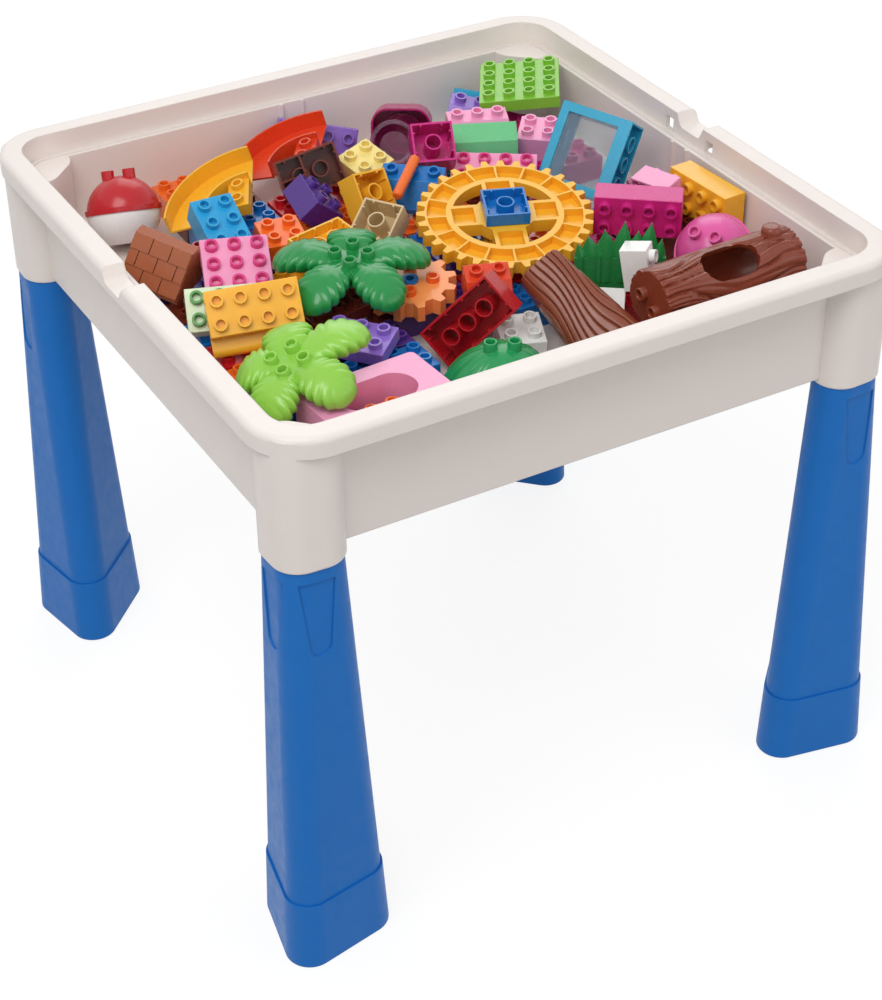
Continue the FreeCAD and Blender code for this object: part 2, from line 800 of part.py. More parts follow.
def dome_leaf():
    """Shallow ribbed dome with two studs on top."""
    radius = (dome_diameter ** 2 / 4 + dome_height ** 2) / (2 * dome_height)
    low = -dome_height / 2
    centre = Vector(0, 0, low + dome_height - radius)
    cover = box(dome_diameter + dome_height, dome_diameter + dome_height, dome_height, (0, 0), low)
    cap = Part.makeSphere(radius, centre).common(cover)
    hollow = Part.makeSphere(radius - dome_shell, centre).common(cover)
    pad_radius = (pitch + stud_diameter) / 2 + shell
    pad = cylinder(2 * pad_radius, dome_height - dome_shell, (0, 0, low))
    pad = pad.cut(cylinder(2 * pad_radius - 2 * shell, dome_height - 2 * dome_shell, (0, 0, low)))
    extras = []
    count = 12
    skin_ball = Part.makeSphere(radius + rib_proud, centre).common(cover)
    for k in range(count):
        blade = box(dome_diameter / 2 - pad_radius, rib_thick, dome_height + rib_proud,
                    ((dome_diameter / 2 + pad_radius) / 2, 0), low)
        blade.rotate(Vector(0, 0, 0), Vector(0, 0, 1), 360 * k / count)
        extras.append(blade.common(skin_ball).cut(hollow))
    top = low + dome_height
    studs = [(-pitch / 2, 0), (pitch / 2, 0)]
    sink = radius - math.sqrt(radius ** 2 - pad_radius ** 2)
    for place in studs:
        post = cylinder(stud_diameter, stud_height + sink, (place[0], place[1], top - sink))
        extras.append(post.cut(cylinder(stud_hole_diameter, stud_height, (place[0], place[1], top))))
    steps = 4
    profile = []
    for k in range(steps + 1):
        x = (dome_diameter / 2) * (1 - k / steps)
        z = math.sqrt(radius ** 2 - x ** 2) + centre.z + (rib_proud if k else 0)
        profile.append((x + rib_proud, z))
    profile[0] = (dome_diameter / 2 + rib_proud, low)
    profile[-1] = (pitch / 4, top + rib_proud)
    pieces = [lathe_piece(profile, 16)] + [stud_piece(place, top) for place in studs]
    return cap.cut(hollow).multiFuse([pad] + extras), pieces


def trunk():
    """Piece of tree trunk lying along X, wider at its foot, with deep wood grain on its upper side."""
    half = trunk_length / 2
    foot = trunk_width / 2
    head = foot - trunk_flare
    low, high = -trunk_thick / 2, trunk_thick / 2
    outline = [(-half, -head), (half, -foot), (half, foot), (-half, head)]
    body = polygon_prism(outline, low, high)
    long_edges = [e for e in body.Edges if abs(e.tangentAt(e.FirstParameter).x) > 0.5]
    body = body.makeFillet(trunk_thick / 3, [e for e in long_edges if e.Vertexes[0].Z > 0])
    grains = []
    grain_shares = (-0.62, -0.36, -0.1, 0.12, 0.36, 0.62)
    for share in grain_shares:
        start = Vector(-half - grain_radius, share * head, high + grain_radius / 4)
        end = Vector(half + grain_radius, share * foot, high + grain_radius / 4)
        grains.append(Part.makeCylinder(grain_radius, (end - start).Length, start, end - start))
    pieces = [prism_piece(outline, low - skin, high + skin)]
    return body.cut(Part.makeCompound(grains)), pieces


def hollow_log():
    """Hollow log lying along X, with an oval window on top, a knot and two studs on one end."""
    half = log_length / 2
    radius = log_diameter / 2
    body = cylinder(log_diameter, log_length, (-half, 0, 0), (1, 0, 0))
    body = body.makeFillet(edge_round, [e for e in body.Edges if e.Closed])
    bore_base = (-half + log_shell, 0, 0)
    bore = cylinder(log_diameter - 2 * log_shell, log_length - log_shell, bore_base, (1, 0, 0))
    straight = log_window_length - log_window_width
    window = box(straight, log_window_width, radius + cut_over, (0, 0), 0)
    ends = [cylinder(log_window_width, radius + cut_over, (side * straight / 2, 0, 0)) for side in (-1, 1)]
    flat = box(log_length + cut_over, log_diameter, log_flat, (0, 0), -radius)
    knot_x = half - log_knot_diameter
    lean = math.radians(log_knot_angle)
    knot = cylinder(log_knot_diameter, radius - log_shell / 2 + log_knot_proud, (knot_x, 0, 0),
                    (0, math.cos(lean), math.sin(lean)))
    knot = knot.cut(cylinder(log_diameter - log_shell, log_length, (-half, 0, 0), (1, 0, 0)))
    grains = []
    count = 14
    for k in range(count):
        angle = 2 * math.pi * (k + 0.5) / count
        side = radius + grain_radius / 3
        base = (-half - grain_radius, side * math.cos(angle), side * math.sin(angle))
        grains.append(cylinder(2 * grain_radius, log_length + 2 * grain_radius, base, (1, 0, 0)))
    body = body.cut(bore).cut(window.multiFuse(ends)).cut(flat).cut(Part.makeCompound(grains)).fuse(knot)
    studs = []
    for side in (-1, 1):
        base = (-half, side * pitch / 2, 0)
        outer = cylinder(stud_diameter, stud_height, base, (-1, 0, 0))
        studs.append(outer.cut(cylinder(stud_hole_diameter, stud_height, base, (-1, 0, 0))))
    pieces = [lathe_piece([(radius, -half - skin), (radius, half + skin)], 16, "x")]
    for side in (-1, 1):
        span = [(stud_diameter / 2, -half - stud_height - skin), (stud_diameter / 2, -half)]
        pieces.append(lathe_piece(span, 8, "x", (side * pitch / 2, 0)))
    tip = radius + log_knot_proud
    pieces.append(box_piece(log_knot_diameter + shell, tip, 0, tip, (knot_x, tip / 2)))
    return body.multiFuse(studs), pieces


def grass():
    """Upright tuft of broad pointed blades on a low foot."""
    half = grass_height / 2
    width = 4 * pitch - side_play
    foot = box(width, grass_thick, grass_height / 2, (0, 0), -half)
    pieces = [box_piece(width, grass_thick, -half, 0)]
    blades = []
    blade_shares = ((-0.8, 0.55, -0.2), (-0.4, 0.75, -0.1), (0.05, 1.0, 0.1), (0.45, 0.7, 0.1),
                    (0.78, 0.95, 0.15))
    for place, tall, lean in blade_shares:
        middle = place * (width - grass_blade_width) / 2
        tip = middle + lean * grass_blade_width
        outline = [(middle - grass_blade_width / 2, 0), (middle + grass_blade_width / 2, 0),
                   (tip + grass_blade_width / 6, half * tall * grass_shoulder_share), (tip, half * tall),
                   (tip - grass_blade_width / 4, half * tall * grass_shoulder_share)]
        blades.append(polygon_prism(outline, -grass_thick / 2, grass_thick / 2, "y"))
        pieces.append(prism_piece(outline, -grass_thick / 2 - skin, grass_thick / 2 + skin, "y"))
    return foot.multiFuse(blades), pieces


def toothed_disc(diameter, depth, teeth, thick):
    """Disc with straight-sided teeth, about the middle of its thickness."""
    points = []
    tip, root = diameter / 2, diameter / 2 - depth
    for k in range(teeth):
        for share, radius in ((0.0, root), (0.2, root), (0.35, tip), (0.65, tip), (0.8, root)):
            angle = 2 * math.pi * (k + share) / teeth
            points.append((radius * math.cos(angle), radius * math.sin(angle)))
    return polygon_prism(points, -thick / 2, thick / 2)


def ring_sector(outside, inside, low, high, first, last):
    base = Vector(0, 0, low)
    up = Vector(0, 0, 1)
    sector = Part.makeCylinder(outside, high - low, base, up, last - first)
    sector = sector.cut(Part.makeCylinder(inside, high - low, base, up, last - first))
    sector.rotate(Vector(0, 0, 0), up, first)
    return sector


def ring_gear():
    """Large gear, its channelled side up, that turns on the pin of a square hub plate."""
    half = gear_thick / 2
    gear = toothed_disc(gear_diameter, gear_tooth_depth, gear_teeth, gear_thick)
    root = gear_diameter / 2 - gear_tooth_depth
    ring_inside = root - gear_ring_width
    hub = gear_hub_diameter / 2
    cuts = [cylinder(pin_diameter + 2 * pin_fit, gear_thick + cut_over, (0, 0, -half - cut_over / 2))]
    windows = Part.makeCylinder(ring_inside, gear_thick, Vector(0, 0, -half))
    windows = windows.cut(Part.makeCylinder(hub, gear_thick, Vector(0, 0, -half)))
    for turn in (0, 90):
        bar = box(2 * root, gear_spoke_width, gear_thick, (0, 0), -half)
        bar.rotate(Vector(0, 0, 0), Vector(0, 0, 1), turn)
        windows = windows.cut(bar)
    cuts.append(windows)
    channel_top = half + cut_over
    channel_low = half - gear_channel_depth
    bays = gear_teeth // 2
    gap = math.degrees(shell / (root - gear_ring_width / 2))
    for k in range(bays):
        cuts.append(ring_sector(root - shell, ring_inside + 3 * shell, channel_low, channel_top,
                                360 * k / bays, 360 * (k + 1) / bays - gap))
    for turn in range(4):
        length = ring_inside - hub
        pocket = box(length, gear_spoke_width - 4 * shell, gear_channel_depth + cut_over,
                     (hub + length / 2, 0), channel_low)
        pocket.rotate(Vector(0, 0, 0), Vector(0, 0, 1), turn * 90)
        cuts.append(pocket)
    gear = gear.cut(Part.makeCompound(cuts))
    plate_low = half + pin_play
    plate, _ = brick(2, 2, plate_height, studs=False, ribs=True)
    plate.rotate(Vector(0, 0, 0), Vector(1, 0, 0), 180)
    plate.translate(Vector(0, 0, plate_low + plate_height / 2))
    pin_low = -half - pin_play - pin_flange_thick
    pin = cylinder(pin_diameter, plate_low - pin_low, (0, 0, pin_low))
    flange = cylinder(pin_flange_diameter, pin_flange_thick, (0, 0, pin_low))
    hub_plate = plate.multiFuse([pin, flange])
    disc = lathe_piece([(gear_diameter / 2, -half - skin), (gear_diameter / 2, half + skin)], 24)
    top = box_piece(2 * pitch, 2 * pitch, half, plate_low + plate_height)
    foot = lathe_piece([(pin_flange_diameter / 2, pin_low - skin), (pin_flange_diameter / 2, 0)], 8)
    return [gear, hub_plate], [disc, top, foot]


def round_gear():
    """Small gear with four studs that turns on a pin through its middle."""
    half = round_gear_thick / 2
    gear = toothed_disc(round_gear_diameter, round_gear_tooth_depth, round_gear_teeth, round_gear_thick)
    bore = cylinder(pin_diameter + 2 * pin_fit, round_gear_thick + cut_over, (0, 0, -half - cut_over / 2))
    gear = gear.cut(bore)
    places = [(pitch, 0), (-pitch, 0), (0, pitch), (0, -pitch)]
    gear = gear.multiFuse([stud(place, half) for place in places])
    low = -half - pin_play - pin_flange_thick
    pin = cylinder(pin_diameter, half + pin_flange_thick - low, (0, 0, low))
    dimple_low = half + pin_flange_thick - pin_diameter / 2
    pin = pin.cut(cylinder(pin_diameter / 2, pin_diameter / 2, (0, 0, dimple_low)))
    pin = pin.fuse(cylinder(pin_flange_diameter, pin_flange_thick, (0, 0, low)))
    radius = round_gear_diameter / 2
    crown_radius = pitch + stud_diameter / 2
    disc = lathe_piece([(radius, -half - skin), (radius, half + skin)], 16)
    crown = lathe_piece([(crown_radius, half), (crown_radius, half + stud_height)], 12)
    foot = lathe_piece([(pin_flange_diameter / 2, low - skin), (pin_flange_diameter / 2, 0)], 8)
    return [gear, pin], [disc, crown, foot]


def window_block():
    """Window block lying on its side: tubes in its hollow foot at +X, a clear pane in its front at -Y."""
    length = 4 * pitch - side_play
    width = 2 * pitch - side_play
    half = frame_height / 2
    low, high = -length / 2, length / 2
    frame = box(frame_height, width, length, (0, 0), low)
    frame = frame.makeFillet(edge_round, upright_edges(frame))
    opening_length = frame_height - frame_base - frame_bar
    opening_height = length - 2 * frame_bar
    middle = (frame_bar - frame_base) / 2
    opening = box(opening_length, width + cut_over, opening_height, (middle, 0), low + frame_bar)
    hollow = box(frame_base - shell, width - 2 * shell, length - 2 * shell,
                 (half - (frame_base - shell) / 2, 0), low + shell)
    frame = frame.cut(opening).cut(hollow)
    tubes = []
    for place in stud_places(3, 1):
        base = (half - frame_base + shell, 0, place[0])
        tube = cylinder(tube_diameter, frame_base - shell, base, (1, 0, 0))
        tubes.append(tube.cut(cylinder(tube_hole_diameter, frame_base - shell, base, (1, 0, 0))))
    frame = frame.multiFuse(tubes)
    pane = box(opening_length - 2 * pane_play, pane_thick, opening_height - 2 * pane_play,
               (middle, -width / 2 + 2 * pane_thick), low + frame_bar + pane_play)
    pieces = [box_piece(frame_base, width, low, high, (half - frame_base / 2, 0)),
              box_piece(frame_bar, width, low, high, (-half + frame_bar / 2, 0)),
              box_piece(frame_height, width, low, low + frame_bar),
              box_piece(frame_height, width, high - frame_bar, high),
              box_piece(opening_length, pane_thick, low, high, (middle, -width / 2 + 2 * pane_thick))]
    return [frame, pane], pieces


def bowl():
    """Square bowl with large round corners and two rings on its floor."""
    half = bowl_height / 2
    outer = box(bowl_side, bowl_side, bowl_height, (0, 0), -half)
    outer = outer.makeFillet(bowl_corner_radius, upright_edges(outer))
    inside = bowl_side - 2 * shell
    inner = box(inside, inside, bowl_height, (0, 0), -half + shell)
    inner = inner.makeFillet(bowl_corner_radius - shell, upright_edges(inner))
    rings = []
    for diameter in (bowl_side - bowl_corner_radius, tube_diameter):
        ring = cylinder(diameter, bowl_ring_height, (0, 0, -half))
        rings.append(ring.cut(cylinder(diameter - 2 * shell, bowl_ring_height, (0, 0, -half))))
    edge = (bowl_side - shell) / 2
    pieces = [box_piece(bowl_side, bowl_side, -half, -half + shell)]
    for side in (-1, 1):
        pieces.append(box_piece(bowl_side, shell, -half, half, (0, side * edge)))
        pieces.append(box_piece(shell, bowl_side, -half, half, (side * edge, 0)))
    return outer.cut(inner).multiFuse(rings), pieces


def pot():
    """Clear cup that widens upward, standing on a short tube."""
    half = pot_height / 2
    foot = pot_foot_diameter / 2
    mouth = pot_diameter / 2
    outer = Part.makeCone(foot, mouth, pot_height, Vector(0, 0, -half))
    inner = Part.makeCone(foot - shell, mouth - shell, pot_height, Vector(0, 0, -half + shell))
    band = cylinder(pot_diameter + 2 * shell, shell, (0, 0, half - shell))
    band = band.cut(cylinder(pot_diameter - shell, shell, (0, 0, half - shell)))
    pieces = [lathe_piece([(foot, -half - skin), (mouth, half)], 20),
              lathe_piece([(mouth + shell, half - shell - skin), (mouth + shell, half + skin)], 20)]
    return outer.cut(inner).fuse(band), pieces


def oval_block():
    """Wide block with a large oval opening through it."""
    half = oval_block_height / 2
    body = box(oval_block_length, oval_block_width, oval_block_height, (0, 0), -half)
    body = body.makeFillet(pitch / 4, upright_edges(body))
    body = body.makeFillet(edge_round, edges_at(body, half))
    straight = (oval_length - oval_width) / 2
    hole = box(2 * straight, oval_width, oval_block_height + cut_over, (0, 0), -half - cut_over / 2)
    ends = [cylinder(oval_width, oval_block_height + cut_over, (side * straight, 0, -half - cut_over / 2))
            for side in (-1, 1)]
    body = body.cut(hole.multiFuse(ends))
    edge_y = (oval_block_width - oval_width) / 2
    pieces = []
    for side in (-1, 1):
        middle_y = side * (oval_block_width - edge_y) / 2
        pieces.append(box_piece(oval_block_length, edge_y, -half, half, (0, middle_y)))
        end_x = (oval_block_length - oval_length) / 2
        middle_x = side * (oval_block_length - end_x) / 2
        pieces.append(box_piece(end_x, oval_block_width, -half, half, (middle_x, 0)))
        radius = oval_width / 2
        for up in (-1, 1):
            wedge = [(side * straight, up * radius), (side * (straight + radius), up * radius),
                     (side * (straight + radius), 0)]
            pieces.append(prism_piece(wedge, -half - skin, half + skin))
    return body, pieces


def rod():
    half = rod_length / 2
    body = cylinder(rod_diameter, rod_length, (-half, 0, 0), (1, 0, 0))
    body = body.makeFillet(rod_diameter / 4, [e for e in body.Edges if e.Closed])
    return body, [lathe_piece([(rod_diameter / 2, -half - skin), (rod_diameter / 2, half + skin)], 8, "x")]


def ball_brick():
    """Round brick in two halves: a bowl with a flat foot below, and a dome with two studs above."""
    radius = ball_diameter / 2
    foot = ball_foot_diameter / 2
    low = -math.sqrt(radius ** 2 - foot ** 2)
    ball = Part.makeSphere(radius)
    below = box(ball_diameter, ball_diameter, -low, (0, 0), low)
    above = box(ball_diameter, ball_diameter, radius, (0, 0), 0)
    core = Part.makeSphere(radius - 2 * shell)
    core_room = box(ball_diameter, ball_diameter, radius, (0, 0), low + 2 * shell)
    bottom = ball.common(below).cut(core.common(core_room))
    seam = cylinder(ball_diameter + 2 * ball_seam_proud, ball_seam_height, (0, 0, 0))
    seam = seam.cut(cylinder(ball_diameter - 2 * shell, ball_seam_height, (0, 0, 0)))
    top = ball.common(above).cut(core).fuse(seam)
    sink = radius - math.sqrt(radius ** 2 - (pitch / 2 + stud_diameter / 2) ** 2)
    for side in (-1, 1):
        base = (side * pitch / 2, 0, radius - sink)
        top = top.fuse(cylinder(stud_diameter, stud_height + sink, base))
    for side in (-1, 1):
        top = top.cut(cylinder(stud_hole_diameter, stud_height, (side * pitch / 2, 0, radius)))
    steps = 10
    first = math.asin(low / radius)
    step = (math.pi / 2 - first) / steps
    around = radius / math.cos(step / 2)
    angles = [first + step * k for k in range(steps)]
    profile = [(around * math.cos(angle), around * math.sin(angle)) for angle in angles]
    profile[0] = (profile[0][0], low - skin)
    crown = box_piece(pitch + stud_diameter, stud_diameter, 0, radius + stud_height)
    seam_radius = ball_diameter / 2 + ball_seam_proud
    band = lathe_piece([(seam_radius, -skin), (seam_radius, ball_seam_height + skin)], 24)
    pieces = [lathe_piece(profile, 24), band, crown]
    return [top, bottom], pieces


# The pile

class Pile:
    """Blocks laid in the tray so far, as solids by node and as pieces that later blocks can rest on."""

    def __init__(self):
        self.nodes = {}
        self.seats = {}
        self.laid = []

    def add(self, names, solids, pieces, rotation, place, level):
        seat = FreeCAD.Placement(Vector(place[0], place[1], level), rotation)
        for name, solid in zip(names, solids):
            copy = solid.copy()
            copy.Placement = seat.multiply(copy.Placement)
            self.nodes.setdefault(name, []).append(copy)
            self.seats[name] = seat
        self.laid += [piece.placed(rotation, place[0], place[1], level) for piece in pieces]

    def rest_level(self, falling, place, cap):
        """Level at which a falling block comes to rest at a place, or None once it is over the cap."""
        level = floor_top - min(f.box[2] for f in falling)
        pairs = [(b.box[5] - a.box[2], i, j)
                 for i, a in enumerate(falling) for j, b in enumerate(self.laid)
                 if b.box[5] - a.box[2] > level and boxes_cross(a.box, place, b.box)]
        for bound, i, j in sorted(pairs, reverse=True):
            if bound <= level:
                break
            level = lift_needed(falling[i], self.laid[j], place, level)
            if level > cap:
                return None
        return level

    def drop(self, names, made, shares, angles):
        """Let a block fall near its place, turned as given, and settle where it comes to rest lowest."""
        solids, pieces = made
        solids = solids if isinstance(solids, list) else [solids]
        turn, lean, tip = angles
        rotation = Rotation(Vector(0, 0, 1), turn)
        rotation = rotation.multiply(Rotation(Vector(0, 1, 0), tip)).multiply(Rotation(Vector(1, 0, 0), lean))
        falling = [piece.placed(rotation, 0, 0, 0) for piece in pieces]
        best = None
        for ring in range(settle_rings + 1):
            for step in range(settle_ways if ring else 1):
                drift = settle_reach * ring / settle_rings
                angle = 2 * math.pi * (step + ring / 2) / settle_ways
                aim = (drift * math.cos(angle), drift * math.sin(angle))
                place = []
                for axis in (0, 1):
                    least = -room + wall_rib_proud + skin - min(f.box[axis] for f in falling)
                    most = room - wall_rib_proud - skin - max(f.box[axis + 3] for f in falling)
                    place.append(min(max((2 * shares[axis] - 1) * room + aim[axis], least), most))
                cap = best[0] - drift * settle_slope if best else math.inf
                level = self.rest_level(falling, place, cap)
                if level is not None and level < cap:
                    best = (level + drift * settle_slope, level, place)
        level = best[1] + settle_gap
        place = best[2]
        self.add(names, solids, pieces, rotation, place, level)

    def keep_clear(self, radius, shares):
        """Let no later block come to lie over a round stretch of the pile."""
        centre = [(2 * share - 1) * room for share in shares]
        shaft = lathe_piece([(radius, floor_top), (radius, rim_top + tray_depth)], 16, "z", centre)
        self.laid.append(shaft.placed(Rotation(), 0, 0, 0))


def lay_bottom(pile):
    """Flat layer of two by four bricks on the floor. Each letter is a colour, a dot is left open."""
    colours = {"r": "red_bricks", "b": "blue_bricks", "w": "brown_bricks", "m": "magenta_bricks",
               "p": "purple_bricks", "o": "orange_bricks", "y": "yellow_bricks"}
    rows_front_to_back = ("....w.", "......", "bb..r.", "op.bo.", "rwprmw", "brbpo.", "wyrbm.", "pbmow.",
                          "rpoybm", ".brop.", ".w....", ".o....")
    solid, pieces = brick(4, 2)
    step_x = 4 * pitch + fill_gap
    step_y = 2 * pitch + fill_gap
    level = floor_top + brick_height / 2
    for row, letters in enumerate(rows_front_to_back):
        for column, letter in enumerate(letters):
            if letter in colours:
                x = (column - (len(letters) - 1) / 2) * step_x
                y = (row - (len(rows_front_to_back) - 1) / 2) * step_y
                pile.add([colours[letter]], [solid], pieces, Rotation(), (x, y), level)


def lay_columns(pile):
    """The corner columns stand in the way of falling blocks."""
    for corner in corner_signs.values():
        reach = column_rounding + top_corner_side
        centre = (corner[0] * (half_side - column_inset), corner[1] * (half_side - column_inset))
        column = lathe_piece([(reach, floor_top), (reach, rim_top)], 16, "z", centre)
        pile.laid.append(column.placed(Rotation(), 0, 0, 0))


def lay_blocks(pile):
    """Every block that shows. Shares are of the room between the walls; angles are turn, lean and tip."""
    plain = brick(2, 2)
    plain_below = brick(2, 2, ribs=True)
    long_brick = brick(4, 2)
    palm_leaves = ((20, 1.0), (92, 0.8), (164, 1.0), (236, 0.95), (308, 0.9))
    lime_leaves = ((10, 1.0), (75, 0.8), (150, 0.7), (225, 0.75), (300, 0.85))
    pile.drop(["red_ball_dome", "white_ball_bowl"], ball_brick(), (0.11, 0.86), (-30, -28, -8))
    pile.drop(["pink_ball_dome", "pink_ball_bowl"], ball_brick(), (0.89, 0.24), (-60, 40, 0))
    pile.drop(["yellow_bricks"], brick(2, 2, plate_height), (0.61, 0.44), (-22, 9, 0))
    pile.drop(["yellow_ring_gear", "gear_hub_plate"], ring_gear(), (0.61, 0.44), (-22, 9, 0))
    pile.keep_clear(gear_diameter / 2, (0.61, 0.44))
    pile.drop(["magenta_bowl"], bowl(), (0.64, 0.86), (-32, 72, 0))
    pile.drop(["blue_bricks"], plain, (0.85, 0.462), (0, 0, 0))
    pile.drop(["magenta_bricks"], plain, (0.953, 0.507), (-10, 6, 0))
    pile.drop(["window_frame", "window_pane"], window_block(), (0.84, 0.58), (-58, -34, 6))
    pile.drop(["lavender_slope"], slope(2, 3, 1.5 * brick_height), (0.75, 0.89), (-36, 10, 10))
    pile.drop(["cyan_plate"], brick(3, 2, plate_height), (0.84, 0.93), (-50, 66, 0))
    pile.drop(["magenta_bricks"], plain, (0.84, 0.82), (-44, 20, 10))
    pile.drop(["lavender_plates"], brick(4, 2, plate_height), (0.52, 0.95), (-24, 70, 12))
    pile.drop(["orange_red_chute"], chute(), (0.44, 0.83), (-38, 8, -12))
    pile.drop(["brown_cell_brick"], cell_brick(), (0.41, 0.75), (-12, -118, -14))
    pile.drop(["clear_pot"], pot(), (0.61, 0.79), (-30, 60, 0))
    pile.drop(["cream_bricks"], plain, (0.53, 0.755), (14, 14, -10))
    pile.drop(["yellow_chute"], chute(), (0.28, 0.72), (-30, 12, -14))
    pile.drop(["sky_blue_brick"], brick(2, 3), (0.20, 0.66), (-2, 26, 0))
    pile.drop(["roof_tile_brick"], tiled_roof(), (0.055, 0.60), (-58, 12, 8))
    pile.drop(["pink_plates"], brick(3, 4, plate_height), (0.14, 0.53), (-20, 24, 0))
    pile.drop(["pale_green_plate"], brick(4, 2, plate_height), (0.12, 0.45), (-20, 40, 0))
    pile.drop(["yellow_shelf_brick"], shelf_brick(), (0.12, 0.37), (-18, 52, -4))
    pile.drop(["orange_bricks"], plain, (0.28, 0.60), (-8, 10, 0))
    pile.drop(["beige_brick"], plain_below, (0.43, 0.54), (-56, -150, 0))
    pile.drop(["yellow_bricks"], brick(3, 2, plate_height, ribs=True), (0.34, 0.56), (14, -170, 0))
    pile.drop(["purple_bricks"], plain, (0.355, 0.65), (14, 24, 40))
    pile.drop(["blue_slope"], slope(3, 2), (0.55, 0.645), (-40, 20, 0))
    pile.drop(["yellow_bricks"], plain_below, (0.435, 0.64), (14, -128, 10))
    pile.drop(["brown_bricks"], brick(3, 2, plate_height), (0.23, 0.385), (10, 6, 0))
    pile.drop(["lavender_plates"], brick(3, 2, plate_height), (0.255, 0.29), (-50, 8, 0))
    pile.drop(["purple_bricks"], brick(4, 2, plate_height), (0.29, 0.10), (0, 0, 0))
    pile.drop(["brown_bricks"], brick(4, 2, plate_height), (0.13, 0.13), (0, 0, 0))
    pile.drop(["pink_oval_block"], oval_block(), (0.194, 0.11), (4, 0, 0))
    pile.drop(["orange_bricks"], brick(2, 1, plate_height), (0.2, 0.11), (4, 0, 0))
    pile.drop(["blue_bricks"], brick(2, 2, plate_height), (0.475, 0.06), (0, 0, 0))
    pile.drop(["green_dome_leaf"], dome_leaf(), (0.375, 0.083), (-25, 2, 0))
    pile.drop(["white_bricks"], plain, (0.49, 0.21), (-20, 10, 0))
    pile.drop(["white_bricks"], brick(3, 2, plate_height, studs=False), (0.64, 0.24), (-36, 30, 0))
    pile.drop(["tree_trunk"], trunk(), (0.575, 0.165), (-77, 35, 25))
    pile.drop(["red_long_brick"], brick(4, 2, ribs=True), (0.41, 0.225), (-32, -110, -46))
    pile.drop(["orange_gear", "orange_gear_pin"], round_gear(), (0.355, 0.355), (-30, 6, 0))
    pile.drop(["orange_red_slope"], slope(2, 2), (0.49, 0.27), (-20, 20, 0))
    pile.drop(["grass_tuft"], grass(), (0.70, 0.235), (-30, 0, 0))
    pile.drop(["hollow_log"], hollow_log(), (0.80, 0.085), (2, 28, 0))
    pile.drop(["white_bricks"], brick(2, 1), (0.72, 0.165), (-50, 0, 80))
    pile.drop(["yellow_bricks"], long_brick, (0.965, 0.37), (-86, 90, 0))
    pile.drop(["pink_bricks"], plain_below, (0.90, 0.41), (-70, -80, 0))
    pile.drop(["magenta_bricks"], long_brick, (0.82, 0.36), (-38, 96, 0))
    pile.drop(["pink_bricks"], plain, (0.845, 0.71), (-40, 8, 0))
    pile.drop(["pink_slope"], slope(3, 2), (0.78, 0.785), (-20, 10, 0))
    pile.drop(["mint_slope"], slope(4, 2, brick_height, 1, False), (0.73, 0.71), (-24, 40, 0))
    pile.drop(["lime_plate"], brick(4, 4, plate_height), (0.91, 0.82), (-32, 4, -6))
    pile.drop(["pink_plates"], brick(4, 2, plate_height), (0.735, 0.635), (-34, 22, 0))
    pile.drop(["magenta_bricks"], plain_below, (0.63, 0.65), (-20, -140, 0))
    pile.drop(["orange_rod"], rod(), (0.545, 0.665), (40, 0, -18))
    pile.drop(["green_palm_top"], palm_top(palm_leaves), (0.29, 0.40), (-30, 6, 0))
    pile.drop(["lime_palm_top"], palm_top(lime_leaves), (0.13, 0.17), (-10, 8, -18))


def export(name, shapes):
    whole = shapes[0] if len(shapes) == 1 else Part.makeCompound(shapes)
    whole.exportStep("parts/" + name + ".step")


def main():
    export("tray", [make_tray()])
    for name, corner in corner_signs.items():
        export(name + "_leg", [make_leg(corner)])
        export(name + "_foot_cap", [make_foot_cap(corner)])
    pile = Pile()
    lay_columns(pile)
    lay_bottom(pile)
    lay_blocks(pile)
    for name, shapes in pile.nodes.items():
        export(name, shapes)
        print(name, len(shapes), "highest point below the rim:",
              round(rim_top - max(s.BoundBox.ZMax for s in shapes), 1))
    for name in ("yellow_ring_gear", "orange_gear"):
        seat = pile.seats[name]
        print(name, "turns about", list(seat.Base), "along", list(seat.Rotation.multVec(Vector(0, 0, 1))))


main()
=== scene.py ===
# %% [markdown]
# A building block table: a white tray on four blue legs, filled with loose toy blocks.
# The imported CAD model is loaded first, and nothing in it is moved. This script gives every
# surface its finish, and replaces a few blocks whose leaves and bark are free forms.
# Small lengths are written in millimetres and turned into metres with MM.

# %% Load the frame
import math

import bmesh
import bpy
from mathutils import Matrix, Vector, noise


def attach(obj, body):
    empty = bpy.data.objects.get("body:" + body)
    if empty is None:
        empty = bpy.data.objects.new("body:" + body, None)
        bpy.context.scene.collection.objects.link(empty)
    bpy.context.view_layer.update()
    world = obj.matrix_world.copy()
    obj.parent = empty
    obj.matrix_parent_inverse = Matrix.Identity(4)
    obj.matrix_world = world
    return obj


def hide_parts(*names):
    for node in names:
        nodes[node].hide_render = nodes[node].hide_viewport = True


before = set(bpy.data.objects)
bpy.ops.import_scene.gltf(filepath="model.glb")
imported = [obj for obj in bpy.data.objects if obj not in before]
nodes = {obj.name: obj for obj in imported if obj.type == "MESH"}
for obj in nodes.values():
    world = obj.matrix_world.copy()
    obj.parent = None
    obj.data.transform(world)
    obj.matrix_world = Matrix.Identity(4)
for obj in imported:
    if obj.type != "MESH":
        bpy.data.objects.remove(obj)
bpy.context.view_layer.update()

MM = 0.001


# %% [markdown]
# The camera looks down into the tray over its front left corner. Its place, angles and lens
# come from fitting the corners of the rim in the photograph. A Track To constraint could aim
# it, but that leaves no roll, and this picture leans by half a degree. So the camera's matrix
# is written from its own right, up and back directions.

# %% Camera
camera_place = Vector((-0.6944, -1.2418, 1.1696))
camera_azimuth = math.radians(-29.505)
camera_elevation = math.radians(35.215)
camera_roll = math.radians(-0.538)
camera_lens = 79.81
sensor_height = 36.0

